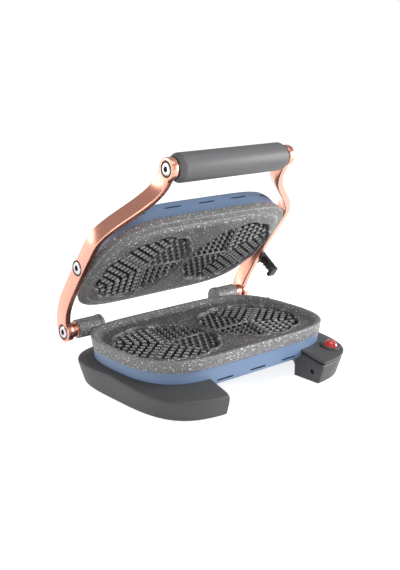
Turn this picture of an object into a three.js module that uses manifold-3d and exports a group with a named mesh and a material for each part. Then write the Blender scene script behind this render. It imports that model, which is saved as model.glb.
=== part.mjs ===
// Double waffle maker, open, in millimetres. +Z is up, the hinge runs along X at the back, the handle at -Y.
// The lower plate's centre is the middle of the layout, and the ground is at height zero.
import * as THREE from "three";
import { mergeVertices, toCreasedNormals } from "three/addons/utils/BufferGeometryUtils.js";
import Module from "manifold-3d";

const wasm = await Module();
wasm.setup();

// Clearances and the depth by which every cut runs past the face it opens
const seatGap = 0.3;
const runningGap = 0.3;
const overrun = 5;

// Both plates share one oval outline, a superellipse that is squarer at its ends
const rimHalfWidth = 140;
const rimHalfDepth = 90.6;
const outlineShares = { ends: 5.25, sides: 2.78 };
const outlineSegments = 40;
const rimHeight = 60.9;
const rimGap = 0.5;
const lidInset = 1;
const lidHalfWidth = rimHalfWidth - lidInset;
const lidHalfDepth = 85.5;

// Cast plates: the land is the face round the waffles, measured from the rim towards the other plate
const lowerLand = -7.4;
const upperLand = 5.1;
const landInset = 17;
const crestInset = 1.6;
const crestWidth = 1.9;
const crestRound = 1.4;
const sideTaper = 1.8;
const skirtInset = 5;
const rimDepth = 5.5;
const lowerSkirt = 14;
const upperSkirt = 10;
const floorThickness = 3.5;
const undersideInset = 10;
const undersideTaper = 2.4;

// Waffle stars: five hearts with two lobes each
const starInset = 74.8;
const starOffset = rimHalfWidth - starInset;
const starAngle = 1.8;
const heartCount = 5;
const lobesPerHeart = 2;
const pointsPerLobe = 4;
const notchRadius = 59.6;
const lobeRadius = 64.2;
const lobeShare = 0.7;
const ridgeHeight = 6;
const ridgeReach = 57.4;
const ridgePitch = 9;
const ridgeTip = 0.8;
const valleyRise = 0.3;
const beadWidth = 2.2;
const lowerBead = 1.9;
const upperBead = 0.4;
const ribLength = 58.3;
const ribWidth = 3.4;
const ribCrown = 1.8;
const sectorGap = 1.1;

// Pressed shells under and over the plates
const sheet = 1.2;
const lowerShellBottom = 24.6;
const upperShellRise = 36;
const shellInset = 3;
const shellFlatInset = 26;
const shellLip = 4.5;
const shellShares = [
  [0, 0],
  [0.62, 0.05],
  [0.88, 0.34],
  [1, 1],
];
const ventLength = 24;
const ventHeight = 2;
const ventSpacing = 50;
const lowerVentCount = 3;
const upperVentCount = 5;
const ventCut = 16;
const lowerVentHeight = 27.2;
const upperVentRise = 23;

// Heating element, reflector, thermostat and fuse, the same under both plates
const elementRadius = 3.2;
const elementInset = 34;
const elementOpening = 0.32;
const reflectorInset = 20;
const reflectorSheet = 0.9;
const reflectorLip = 3;
const bossRadius = 5;
const bossAlong = 72;
const bossAcross = 28;
const bossRoot = 1;
const thermostatRadius = 9;
const thermostatHeight = 7;
const thermostatFlange = 1.6;
const tabWidth = 5;
const tabThickness = 0.9;
const tabLength = 5;
const fuseRadius = 2.2;
const fuseLength = 14;
const fuseOffset = 26;

// Main hinge: barrels cast on the lower plate's back corners
const hingeBeyondRim = 5.05;
const hingeBack = rimHalfDepth + hingeBeyondRim;
const hingeHeight = 58;
const barrelRadius = 11.4;
const barrelInset = 43;
const barrelLength = 30;
const barrelInner = rimHalfWidth - barrelInset;
const barrelOuter = barrelInner + barrelLength;
const knuckleLength = 6;
const knuckleInner = barrelInner - knuckleLength;
const knuckleRadius = 12.1;
const neckLength = 21;
const neckTop = 2;
const neckHeight = 7;
const hingeBore = 24;
const hingeBossRadius = 9.4;

// Strap arms: outer face positions, widths and thickness from hinge to handle
const armBeyondRim = 5;
const armBeyondLid = 11.6;
const armBeyondGrip = 10.3;
const gripHalfLength = 81.3;
const armHingeX = rimHalfWidth + armBeyondRim;
const armMiddleX = lidHalfWidth + armBeyondLid;
const armHandleX = gripHalfLength + armBeyondGrip;
const strapThickness = 8.4;
const strapWidthHinge = 21.3;
const strapWidthMiddle = 18;
const strapWidthHandle = 19.4;
const strapEdge = 1.6;
const lugRadiusHinge = 12.2;
const lugRadiusHandle = 12.6;
const strapSegments = 18;
const lugSegments = 4;
const bowShare = 0.35;
const slopeShare = 0.002;
const bendShares = { start: 0.65, length: 0.32 };
const handleForward = 36;
const handleHeight = 260.4;
const lowerPullBack = 17.4;
const lowerPullUp = 23.1;
const upperPullBack = 53.6;
const upperPullDown = 81.8;

// Lid: its tilt in the open pose and its pivots above the plate's rim
const openTilt = 44.8;
const pivotForward = 1;
const pivotRise = 11;
const openArmAngle = 116.6;
const pivotBossRadius = 8;
const pivotBossLength = 12;

// Screws with a black bush under each head
const headRadius = 7.3;
const headHeight = 3.4;
const headEdge = 1;
const headProud = 0.7;
const shankRadius = 3;
const socketRadius = 3.2;
const socketDepth = 1.8;
const bushRadius = 8.7;
const bushThickness = 1.2;
const roundSegments = 14;

// Handle
const gripRadius = 16.4;
const gripEdge = 2.2;
const rodRadius = 5.6;
const ringRadius = 13;

// Feet: plastic mouldings that wrap round both ends of the lower shell
const footReach = 68.3;
const footEndX = rimHalfWidth - footReach;
const footLift = 0.8;
const footWall = 2.6;
const footSweep = 88;
const leftFoot = { endReach: 0.5, frontReach: 23, backReach: 12.4, draft: 7.2, top: 34.2, fallShare: 0.283 };
const rightFoot = { endReach: 1.5, frontReach: 26, backReach: 12.4, draft: 7.4, top: 35.7, fallShare: 0.19 };
const footShares = { ends: 5.25, sides: 3.4 };
const footInnerInset = 27;
const coverThickness = 4.6;
const coverGroove = 0.8;
const padInset = 42;
const padFrontReach = 2.4;
const padInsetBack = 2.6;
const padAlong = rimHalfWidth - padInset;
const padFront = rimHalfDepth + padFrontReach;
const padBack = rimHalfDepth - padInsetBack;
const postBelowTop = 5.6;
const postRadius = 7;
const padRadius = 5.2;
const padRecess = 1.5;
const endHoleRadius = 2.2;
const endHoleDepth = 9;
const endHoleInset = 11.6;
const endHoleHeight = 13.3;

// Pilot lamp in the right foot
const lampTurn = 52;
const lensReach = 8.6;
const lensWaistShare = 0.86;
const lensDome = 5.2;
const lensSkirt = 3;
const bezelRadius = 11.4;
const bezelHeight = 1.6;
const holderRadius = 5;
const holderLength = 14;

// Mains terminals and the cord's gland in the right foot
const terminalBlock = { insetEnd: 28, insetBack: 28.6, width: 22, depth: 10, height: 11 };
const terminalCount = 3;
const terminalRadius = 2;
const glandInset = 54;
const glandHeight = 13;
const glandRadius = 6.5;
const glandBore = 3.6;
const glandFlange = 9;
const glandLength = 12;

// Closing latch on the outside of the right arm
const latchShare = 0.36;
const latchWidth = 13;
const latchReach = 14;
const latchWeb = 3;
const latchDrop = 28;
const latchToe = 5;
const latchToeGap = 3;
const latchHead = 7;
const latchNotch = 1.8;
const latchNotchPitch = 5;
const latchNotches = 2;
const latchScrewRadius = 2.4;
const latchScrewHead = 5;
const latchTurn = 30;
const latchPlay = 0.5;
const pegRadius = 3;
const pegEnd = armMiddleX + latchReach - latchWeb - latchNotch * 2;

const root = new THREE.Group();
const toRadians = THREE.MathUtils.degToRad;
const copper = finish(0xdf9c84, 0.34, 0.85);
const bluePaint = finish(0x8aa2c8, 0.42, 0.15);
const graniteCoat = finish(0x6d6e70, 0.6, 0.1);
const mattPlastic = finish(0x545558, 0.7, 0);
const blackPlastic = finish(0x1c1c1e, 0.55, 0);
const gripGrey = finish(0x6f7073, 0.6, 0);
const steel = finish(0xc9cbce, 0.28, 0.95);
const blackSteel = finish(0x2a2a2c, 0.5, 0.5);
const aluminium = finish(0xb9bcc0, 0.4, 0.9);
const ceramic = finish(0xe6e0d4, 0.6, 0);
const rubber = finish(0x2b2b2b, 0.9, 0);
const redLens = finish(0xd3262b, 0.2, 0);

function finish(color, roughness, metalness) {
  return new THREE.MeshStandardMaterial({ color, roughness, metalness });
}

// A geometry's triangles as a solid that faces outwards, moved by a matrix that may also mirror it
function toSolid(geometry, matrix = new THREE.Matrix4()) {
  const bare = new THREE.BufferGeometry();
  bare.setAttribute("position", geometry.getAttribute("position").clone());
  bare.setIndex(geometry.index);
  bare.applyMatrix4(matrix);
  const welded = mergeVertices(bare);
  const points = welded.attributes.position.array;
  const corners = welded.index.array;
  const kept = [];
  let volume = 0;
  for (let i = 0; i < corners.length; i += 3) {
    const [a, b, c] = corners.slice(i, i + 3);
    if (a !== b && b !== c && c !== a) {
      kept.push(a, b, c);
      const [p, q, r] = [a, b, c].map((k) => new THREE.Vector3().fromArray(points, 3 * k));
      volume += p.dot(q.cross(r));
    }
  }
  if (volume < 0) kept.reverse();
  const mesh = new wasm.Mesh({ numProp: 3, vertProperties: points, triVerts: new Uint32Array(kept) });
  return new wasm.Manifold(mesh);
}

function toGeometry(solid) {
  const { vertProperties, triVerts } = solid.getMesh();
  const geometry = new THREE.BufferGeometry();
  geometry.setAttribute("position", new THREE.BufferAttribute(vertProperties, 3));
  geometry.setIndex(new THREE.BufferAttribute(triVerts, 1));
  return toCreasedNormals(geometry, toRadians(35));
}

function addPiece(parent, name, solid, material) {
  const mesh = new THREE.Mesh(toGeometry(solid), material);
  mesh.name = name;
  parent.add(mesh);
  return mesh;
}

const moved = (x, y, z) => new THREE.Matrix4().makeTranslation(x, y, z);
const mirrorX = new THREE.Matrix4().makeScale(-1, 1, 1);
const mirrorZ = new THREE.Matrix4().makeScale(1, 1, -1);
const sides = { left: -1, right: 1 };

function box(low, high) {
  const size = high.clone().sub(low);
  const middle = low.clone().add(high).multiplyScalar(0.5);
  return toSolid(new THREE.BoxGeometry(size.x, size.y, size.z), moved(middle.x, middle.y, middle.z));
}

// A turned body on the X axis from [radius, x] points; a profile off the axis ends where it starts
function turnedX(profile, segments, matrix = new THREE.Matrix4()) {
  const lathe = new THREE.LatheGeometry(
    profile.map(([radius, along]) => new THREE.Vector2(radius, along)),
    segments,
  );
  lathe.rotateZ(-Math.PI / 2);
  return toSolid(lathe, matrix);
}

// The same on an upright axis, from [radius, height] points
function turnedZ(profile, segments, matrix = new THREE.Matrix4()) {
  const lathe = new THREE.LatheGeometry(
    profile.map(([radius, height]) => new THREE.Vector2(radius, height)),
    segments,
  );
  lathe.rotateX(Math.PI / 2);
  return toSolid(lathe, matrix);
}

function cylinderX(radius, from, to, segments, matrix) {
  return turnedX([[0, from], [radius, from], [radius, to], [0, to]], segments, matrix);
}

function cylinderZ(radius, from, to, segments, matrix) {
  return turnedZ([[0, from], [radius, from], [radius, to], [0, to]], segments, matrix);
}

function prism(points, from, to, matrix = new THREE.Matrix4()) {
  const shape = new THREE.Shape(points);
  const geometry = new THREE.ExtrudeGeometry(shape, { depth: to - from, bevelEnabled: false });
  geometry.translate(0, 0, from);
  return toSolid(geometry, matrix);
}

// A body through rings of points, with a flat cap on the first and the last ring
function lofted(rings) {
  const count = rings[0].length;
  const positions = rings.flat().flatMap((p) => [p.x, p.y, p.z]);
  const index = [];
  for (let i = 0; i + 1 < rings.length; i++) {
    for (let j = 0; j < count; j++) {
      const a = i * count + j;
      const b = i * count + ((j + 1) % count);
      index.push(a, b, b + count, a, b + count, a + count);
    }
  }
  const last = (rings.length - 1) * count;
  for (const [a, b, c] of capFaces(rings[0])) index.push(a, c, b);
  for (const [a, b, c] of capFaces(rings.at(-1))) index.push(last + a, last + b, last + c);
  const geometry = new THREE.BufferGeometry();
  geometry.setAttribute("position", new THREE.Float32BufferAttribute(positions, 3));
  geometry.setIndex(index);
  return toSolid(geometry);
}

// Triangles that fill a flat ring, wound as the ring runs
function capFaces(ring) {
  const normal = new THREE.Vector3();
  ring.forEach((p, i) => {
    const q = ring[(i + 1) % ring.length];
    normal.add(p.clone().sub(ring[0]).cross(q.clone().sub(ring[0])));
  });
  const flat = new THREE.Quaternion().setFromUnitVectors(normal.normalize(), new THREE.Vector3(0, 0, 1));
  const contour = ring.map((p) => {
    const q = p.clone().applyQuaternion(flat);
    return new THREE.Vector2(q.x, q.y);
  });
  return THREE.ShapeUtils.triangulateShape(contour, []);
}

// A point of an oval at a turn from +X, drawn in by an inset
function ovalPoint(halfWidth, halfDepth, turn, inset, height, shares = outlineShares) {
  const c = Math.cos(turn);
  const s = Math.sin(turn);
  const x = (halfWidth - inset) * Math.sign(c) * Math.abs(c) ** (2 / shares.ends);
  const y = (halfDepth - inset) * Math.sign(s) * Math.abs(s) ** (2 / shares.sides);
  return new THREE.Vector3(x, y, height);
}

// Turns at which every oval ring has its points, so that pieces that follow one oval share their facets
const ovalStep = (2 * Math.PI) / outlineSegments;
const ovalTurns = Array.from({ length: outlineSegments }, (_, i) => (i + 0.5) * ovalStep);

// A body whose rings follow the oval, from [inset, height] points, underside first
function ovalBody(halfWidth, halfDepth, profile) {
  const ring = (inset, height) => ovalTurns.map((turn) => ovalPoint(halfWidth, halfDepth, turn, inset, height));
  return lofted(profile.map(([inset, height]) => ring(inset, height)));
}

// Cast plate, rim at height zero, its cooking face up
function plateBody(halfWidth, halfDepth, land, skirt) {
  const floor = land - ridgeHeight;
  const underside = floor - floorThickness;
  const rimUnderside = Math.max(underside, -rimDepth);
  const riseShares = [[0, 0], [0.36, 0.62], [0.68, 0.93], [1, 1]];
  const crestEnd = crestInset + crestWidth;
  const wall = riseShares.map(([across, down]) => [crestEnd + across * (landInset - crestEnd), down * land]);
  return ovalBody(halfWidth, halfDepth, [
    [undersideInset, underside],
    [undersideInset - undersideTaper, rimUnderside],
    [skirtInset, rimUnderside],
    [skirtInset, -skirt],
    [sideTaper, -skirt],
    [crestRound / 4, -crestRound],
    [crestInset, 0],
    ...wall,
  ]);
}

// The lobed edge of a waffle, drawn out or in by an offset
function lobedOutline(offset) {
  const lobes = heartCount * lobesPerHeart;
  const total = lobes * pointsPerLobe;
  return Array.from({ length: total }, (_, i) => {
    const along = (i % pointsPerLobe) / pointsPerLobe;
    const bulge = Math.sin(Math.PI * along) ** lobeShare;
    const radius = notchRadius + (lobeRadius - notchRadius) * bulge + offset;
    const turn = toRadians(starAngle) + (i * 2 * Math.PI) / total;
    return new THREE.Vector2(radius * Math.cos(turn), radius * Math.sin(turn));
  });
}

// Parallel ridges with sloping sides, seen along their length as teeth on a bar that is sunk in the floor
function ridgeRow(angle, pitch, depth, tip) {
  const reach = Math.ceil(ridgeReach / pitch);
  const points = [];
  for (let i = -reach; i < reach; i++) {
    const middle = (i + 0.5) * pitch;
    points.push(new THREE.Vector2(middle - pitch / 2, -depth), new THREE.Vector2(middle - tip / 2, 0));
    if (tip > 0) points.push(new THREE.Vector2(middle + tip / 2, 0));
  }
  points.push(new THREE.Vector2(reach * pitch, -depth));
  const base = -ridgeHeight - floorThickness / 2;
  points.push(new THREE.Vector2(reach * pitch, base), new THREE.Vector2(-reach * pitch, base));
  const across = new THREE.Matrix4().makeRotationX(Math.PI / 2);
  const turned = new THREE.Matrix4().makeRotationZ(toRadians(angle - 90)).multiply(across);
  return prism(points, -ridgeReach - overrun, ridgeReach + overrun, turned);
}

// The ridges of one heart, between two of the star's five directions
function heartRidges(heart, ridges) {
  const sector = 360 / heartCount;
  const from = toRadians(starAngle + heart * sector);
  const to = toRadians(starAngle + (heart + 1) * sector);
  const middle = (from + to) / 2;
  const apex = sectorGap / Math.sin(toRadians(sector / 2));
  const points = [new THREE.Vector2(apex * Math.cos(middle), apex * Math.sin(middle))];
  const margin = Math.asin(sectorGap / ridgeReach);
  const arcSteps = 5;
  for (let i = 0; i <= arcSteps; i++) {
    const turn = from + margin + ((to - from - 2 * margin) * i) / arcSteps;
    points.push(new THREE.Vector2(ridgeReach * Math.cos(turn), ridgeReach * Math.sin(turn)));
  }
  let made = prism(points, -ridgeHeight - floorThickness / 2, overrun);
  for (const row of ridges) made = made.intersect(row);
  return made;
}

// One waffle's ridges and ribs: pyramids, smooth bars and toothed bars
function starRidges() {
  const rooted = ridgeHeight - valleyRise;
  const along = (angle) => ridgeRow(starAngle + angle, ridgePitch, rooted, ridgeTip);
  const sharp = (angle) => ridgeRow(starAngle + angle, ridgePitch, rooted, 0);
  const hearts = [
    [sharp(0), sharp(72)],
    [along(72)],
    [sharp(36)],
    [sharp(54)],
    [sharp(66)],
  ];
  let star = null;
  hearts.forEach((ridges, heart) => {
    const made = heartRidges(heart, ridges);
    star = star ? star.add(made) : made;
  });
  const base = -ridgeHeight - floorThickness / 2;
  const section = [
    new THREE.Vector2(-ribWidth / 2, base),
    new THREE.Vector2(ribWidth / 2, base),
    new THREE.Vector2(ribCrown / 2, 0),
    new THREE.Vector2(-ribCrown / 2, 0),
  ];
  for (const angle of [0, 72, 216]) {
    const across = new THREE.Matrix4().makeRotationX(Math.PI / 2);
    const turned = new THREE.Matrix4().makeRotationZ(toRadians(starAngle + angle + 90)).multiply(across);
    star = star.add(prism(section, 0, ribLength, turned));
  }
  return star;
}

// Adds both waffles to a plate: a bead round each, a sunk floor, then the ridges
function addWaffles(plate, land, bead) {
  const beaded = lobedOutline(beadWidth / 2);
  const opening = lobedOutline(-beadWidth / 2);
  const ridges = toGeometry(starRidges());
  for (const turn of [0, Math.PI]) {
    const place = new THREE.Matrix4().makeRotationZ(turn).multiply(moved(-starOffset, 0, land));
    plate = plate.add(prism(beaded, -ridgeHeight / 2, bead, place));
    plate = plate.subtract(prism(opening, -ridgeHeight, bead + overrun, place));
    plate = plate.add(toSolid(ridges, place));
  }
  return plate;
}

// Bosses under a plate that take the shell's screws
function bossPlaces() {
  return [-bossAlong, bossAlong].flatMap((x) => [-bossAcross, bossAcross].map((y) => [x, y]));
}

// A whole plate, its shell's inner floor at a height below the rim
function castPlate(halfWidth, halfDepth, land, skirt, bead, shellFloor) {
  const underside = land - ridgeHeight - floorThickness;
  let plate = addWaffles(plateBody(halfWidth, halfDepth, land, skirt), land, bead);
  for (const [x, y] of bossPlaces()) {
    const boss = cylinderZ(bossRadius, shellFloor + seatGap, underside + bossRoot, 8, moved(x, y, 0));
    plate = plate.add(boss);
  }
  return plate;
}

// Outer points of a shell, from its flat bottom up to the plate's skirt
function shellOuter(skirt, bottom) {
  const top = -skirt - seatGap;
  return shellShares.map(([across, up]) => [
    shellFlatInset + (shellInset - shellFlatInset) * across,
    bottom + (top - bottom) * up,
  ]);
}

// A pressed shell: its lip tucks inside the plate's skirt
function shellBody(halfWidth, halfDepth, skirt, bottom) {
  const outer = shellOuter(skirt, bottom);
  const lipInset = skirtInset + seatGap;
  const inner = outer.map(([inset, height], i) => {
    const [across, up] = shellShares[i];
    return [inset + sheet * across, height + sheet * (1 - up)];
  });
  return ovalBody(halfWidth, halfDepth, [
    ...outer,
    [lipInset, -skirt - seatGap],
    [lipInset, -skirt + shellLip],
    [lipInset + sheet, -skirt + shellLip],
    ...inner.slice(0, -1).reverse(),
  ]);
}

// The vents are level slots in both long walls
function ventedShell(halfWidth, halfDepth, skirt, bottom, ventAt, ventCount) {
  let shell = shellBody(halfWidth, halfDepth, skirt, bottom);
  for (let i = 0; i < ventCount; i++) {
    const middle = (i - (ventCount - 1) / 2) * ventSpacing;
    const low = new THREE.Vector3(middle - ventLength / 2, -halfDepth - overrun, ventAt - ventHeight / 2);
    const high = new THREE.Vector3(middle + ventLength / 2, -halfDepth + ventCut, ventAt + ventHeight / 2);
    const behindLow = new THREE.Vector3(-high.x, -high.y, low.z);
    const behindHigh = new THREE.Vector3(-low.x, -low.y, high.z);
    shell = shell.subtract(box(low, high)).subtract(box(behindLow, behindHigh));
  }
  return shell;
}

// The element: a loop of tube pressed against the plate, open on the right
function heatingElement(halfWidth, halfDepth, underside) {
  const height = underside - seatGap - elementRadius;
  const turns = 24;
  const points = [];
  for (let i = 0; i <= turns; i++) {
    const turn = elementOpening + ((2 * Math.PI - 2 * elementOpening) * i) / turns;
    points.push(ovalPoint(halfWidth, halfDepth, turn, elementInset, height));
  }
  const path = new THREE.CatmullRomCurve3(points);
  const section = new THREE.Shape();
  section.absarc(0, 0, elementRadius, 0, 2 * Math.PI);
  const geometry = new THREE.ExtrudeGeometry(section, { steps: 26, curveSegments: 3, extrudePath: path });
  return toSolid(geometry);
}

// The reflector: a thin tray under the element, with holes for the bosses and the thermostat
function reflector(halfWidth, halfDepth, underside) {
  const face = underside - seatGap - 2 * elementRadius - seatGap;
  const edge = reflectorInset + reflectorLip;
  let tray = ovalBody(halfWidth, halfDepth, [
    [edge, face - reflectorSheet],
    [reflectorInset, face + reflectorLip - reflectorSheet],
    [reflectorInset + reflectorSheet, face + reflectorLip],
    [edge + reflectorSheet, face],
  ]);
  for (const [x, y] of bossPlaces()) {
    tray = tray.subtract(cylinderZ(bossRadius + seatGap, face - overrun, face + overrun, 8, moved(x, y, 0)));
  }
  const opening = thermostatRadius + runningGap;
  return tray.subtract(cylinderZ(opening, face - overrun, face + overrun, roundSegments));
}

// The thermostat: a disc with a flange against the plate and two tabs below
function thermostat(underside) {
  const top = underside - seatGap;
  const bottom = top - thermostatHeight;
  let body = turnedZ(
    [
      [0, bottom],
      [thermostatRadius - thermostatFlange, bottom],
      [thermostatRadius - thermostatFlange, top - thermostatFlange],
      [thermostatRadius, top - thermostatFlange],
      [thermostatRadius, top],
      [0, top],
    ],
    roundSegments,
  );
  for (const x of [-1, 1]) {
    const middle = (x * thermostatRadius) / 2;
    const low = new THREE.Vector3(middle - tabThickness / 2, -tabWidth / 2, bottom - tabLength);
    const high = new THREE.Vector3(middle + tabThickness / 2, tabWidth / 2, bottom + tabThickness);
    body = body.add(box(low, high));
  }
  return body;
}

const lowerFloor = lowerLand - ridgeHeight - floorThickness;
const upperFloor = upperLand - ridgeHeight - floorThickness;
const swing = pivotGeometry();
const lowerShellFloor = lowerShellBottom - rimHeight;
const lidBottom = -upperShellRise;

// The lower half: plate, shell and what heats it
const base = new THREE.Group();
root.add(base);
const lowerHalf = new THREE.Group();
lowerHalf.position.z = rimHeight;
base.add(lowerHalf);

// How far out the plate's edge reaches at a place along X
function rimDepthAt(x, inset) {
  const share = (Math.abs(x) / (rimHalfWidth - inset)) ** outlineShares.ends;
  return (rimHalfDepth - inset) * (1 - share) ** (1 / outlineShares.sides);
}

// A barrel on the plate's right back corner, its knuckle and the neck that joins them to the plate
function hingeBarrel(matrix) {
  const axis = moved(0, hingeBack, hingeHeight - rimHeight);
  let barrel = turnedX(
    [
      [0, knuckleInner],
      [knuckleRadius - crestInset, knuckleInner],
      [knuckleRadius, knuckleInner + crestInset],
      [knuckleRadius, barrelInner],
      [barrelRadius, barrelInner],
      [barrelRadius, barrelOuter],
      [0, barrelOuter],
    ],
    24,
    axis,
  );
  const steps = 4;
  const edge = Array.from({ length: steps + 1 }, (_, i) => {
    const x = knuckleInner + (neckLength * i) / steps;
    return new THREE.Vector2(x, rimDepthAt(x, skirtInset / 2));
  });
  const outline = [
    ...edge,
    new THREE.Vector2(knuckleInner + neckLength, hingeBack),
    new THREE.Vector2(knuckleInner, hingeBack),
  ];
  barrel = barrel.add(prism(outline, -neckTop - neckHeight, -neckTop));
  const bore = cylinderX(shankRadius + runningGap, barrelOuter - hingeBore, barrelOuter + overrun, 16, axis);
  return toSolid(toGeometry(barrel.subtract(bore)), matrix);
}

// How far the lower rim reaches along X at a distance from its middle
function rimWidthAt(y) {
  const share = Math.abs(y / rimHalfDepth) ** outlineShares.sides;
  return rimHalfWidth * (1 - share) ** (1 / outlineShares.ends);
}

// The peg cast on the plate's right end that the latch's toe turns under
function latchPeg() {
  const alongX = new THREE.Vector3(1, 0, 0);
  const reach = new THREE.Vector3(0, 0, latchPlay + pegRadius - latchDrop);
  const { y, z } = reach.applyAxisAngle(alongX, toRadians(latchTurn)).add(swing.latchClosed);
  const from = rimWidthAt(y) - skirtInset;
  return cylinderX(pegRadius, from, pegEnd, 12, moved(0, y, z - rimHeight));
}

function lowerPlate() {
  const shellFloor = lowerShellFloor + sheet;
  const plate = castPlate(rimHalfWidth, rimHalfDepth, lowerLand, lowerSkirt, lowerBead, shellFloor);
  return plate.add(hingeBarrel(new THREE.Matrix4())).add(hingeBarrel(mirrorX)).add(latchPeg());
}

const lowerVentAt = lowerVentHeight - rimHeight;
const lowerShell = ventedShell(
  rimHalfWidth,
  rimHalfDepth,
  lowerSkirt,
  lowerShellFloor,
  lowerVentAt,
  lowerVentCount,
);
addPiece(lowerHalf, "lower_plate", lowerPlate(), graniteCoat);
addPiece(lowerHalf, "lower_housing", lowerShell, bluePaint);
const lowerElement = heatingElement(rimHalfWidth, rimHalfDepth, lowerFloor);
addPiece(lowerHalf, "lower_heating_element", lowerElement, blackSteel);
addPiece(lowerHalf, "lower_reflector", reflector(rimHalfWidth, rimHalfDepth, lowerFloor), aluminium);
addPiece(lowerHalf, "lower_thermostat", thermostat(lowerFloor), ceramic);

function thermalFuse() {
  const height = lowerFloor - seatGap - fuseRadius;
  return cylinderX(fuseRadius, -fuseLength / 2, fuseLength / 2, 12, moved(-fuseOffset, 0, height));
}
addPiece(lowerHalf, "thermal_fuse", thermalFuse(), aluminium);

// Feet: their sections follow the shell on the inside and lean in towards the ground on the outside

// The shell's outer inset at a height above the ground
function shellInsetAt(height) {
  const outer = shellOuter(lowerSkirt, lowerShellFloor).map(([inset, z]) => [inset, z + rimHeight]);
  const next = outer.findIndex(([, z]) => z >= height);
  const [fromInset, fromZ] = outer[next - 1];
  const [toInset, toZ] = outer[next];
  return fromInset + ((toInset - fromInset) * (height - fromZ)) / (toZ - fromZ);
}

// One section of the left foot: its top edges, wall and the bed that carries the shell
function footSection(foot, turn, drop) {
  const depth = rimHalfDepth + (Math.sin(turn) < 0 ? foot.frontReach : foot.backReach);
  const halfWidth = rimHalfWidth + foot.endReach;
  const at = (inset, height) => ovalPoint(rimHalfWidth, rimHalfDepth, turn, inset, height);
  const outer = (grow, height) => ovalPoint(halfWidth, depth, turn, -grow, height, footShares);
  const top = at(shellInsetAt(foot.top) - seatGap, foot.top);
  const edge = outer(foot.draft, 0);
  const creaseHeight = foot.top - foot.fallShare * Math.hypot(edge.x - top.x, edge.y - top.y);
  const wallAt = (height, inset) => outer((foot.draft * height) / creaseHeight - inset, height);
  const innerTop = foot.top - drop;
  const shellPoints = shellOuter(lowerSkirt, lowerShellFloor).map(([inset, height], i) => {
    const [across, up] = shellShares[i];
    return [inset - seatGap * across, height + rimHeight - seatGap * (1 - up)];
  });
  const bed = shellPoints.filter(([, height]) => height < innerTop - seatGap);
  const coverBed = bed.filter(([, height]) => height > innerTop - coverThickness + seatGap);
  return { at, wallAt, bed, coverBed, innerTop, creaseHeight: creaseHeight - drop };
}

function footRings(foot, drop, section) {
  const turns = ovalTurns.filter((turn) => Math.abs(turn - Math.PI) < toRadians(footSweep));
  return lofted(turns.map((turn) => section(footSection(foot, turn, drop))));
}

// The foot's body above the ground, its top lowered by a drop
function footBlock(foot, drop) {
  return footRings(foot, drop, ({ at, wallAt, bed, innerTop, creaseHeight }) => [
    at(shellInsetAt(innerTop) - seatGap, innerTop),
    wallAt(creaseHeight, 0),
    wallAt(footLift, 0),
    at(footInnerInset, footLift),
    ...bed.map(([inset, height], i) => at(i === 0 ? footInnerInset : inset, height)),
  ]);
}

// The hollow under a foot, open to the ground
function footHollow(foot, drop) {
  const hollow = footRings(foot, drop, ({ at, wallAt, bed, innerTop, creaseHeight }) => [
    wallAt(-overrun, footWall),
    wallAt(creaseHeight - footWall, footWall),
    at(bed.at(-1)[0] - footWall, Math.min(bed.at(-1)[1], innerTop - footWall - crestRound)),
    at(bed[1][0] - footWall / 2, bed[1][1] - footWall),
    at(footInnerInset - footWall, bed[0][1] - footWall),
    at(footInnerInset - footWall, -overrun),
  ]);
  return hollow.subtract(middleBlock(footEndX + footWall));
}

// Everything between two planes across X, which squares off the feet's ends
function middleBlock(reach) {
  const depth = rimHalfDepth * 2;
  return box(new THREE.Vector3(-reach, -depth, -depth), new THREE.Vector3(reach, depth, depth));
}

function footShell(foot, drop) {
  let made = footBlock(foot, drop).subtract(middleBlock(footEndX)).subtract(footHollow(foot, drop));
  for (const y of [-padFront, padBack]) {
    const place = moved(-padAlong, y, 0);
    const post = cylinderZ(postRadius, footLift, foot.top - drop - postBelowTop, 12, place);
    const recess = cylinderZ(padRadius + seatGap, 0, footLift + padRecess, 12, place);
    made = made.add(post).subtract(recess);
  }
  return made;
}

function footPad(x, y) {
  return cylinderZ(padRadius, 0, footLift + padRecess - seatGap, 12, moved(x, y, 0));
}

addPiece(base, "left_foot", footShell(leftFoot, 0), mattPlastic);
for (const [side, sign] of Object.entries(sides)) {
  addPiece(base, `rubber_pad_front_${side}`, footPad(sign * padAlong, -padFront), rubber);
  addPiece(base, `rubber_pad_back_${side}`, footPad(sign * padAlong, padBack), rubber);
}

// The cover of the right foot, built on the left like its foot
function footCover() {
  const slab = footRings(rightFoot, 0, ({ at, wallAt, coverBed, innerTop, creaseHeight }) => [
    at(shellInsetAt(innerTop) - seatGap, innerTop),
    wallAt(creaseHeight, 0),
    wallAt(creaseHeight - coverThickness, 0),
    at(shellInsetAt(innerTop - coverThickness) - seatGap, innerTop - coverThickness),
    ...coverBed.map(([inset, height]) => at(inset, height)),
  ]);
  return slab.subtract(middleBlock(footEndX));
}

// The lamp's place on the cover, in the left foot's coordinates, with its upright along the surface's normal
function lampPlace() {
  const turn = Math.PI + toRadians(lampTurn);
  const { at, wallAt, innerTop, creaseHeight } = footSection(rightFoot, turn, 0);
  const inner = at(shellInsetAt(innerTop) - seatGap, innerTop);
  const outer = wallAt(creaseHeight, 0);
  const down = outer.clone().sub(inner).normalize();
  const level = new THREE.Vector3(-down.y, down.x, 0).normalize();
  const normal = down.clone().cross(level);
  const middle = inner.clone().add(outer).multiplyScalar(0.5);
  return new THREE.Matrix4().makeBasis(down, level, normal).setPosition(middle);
}

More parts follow.
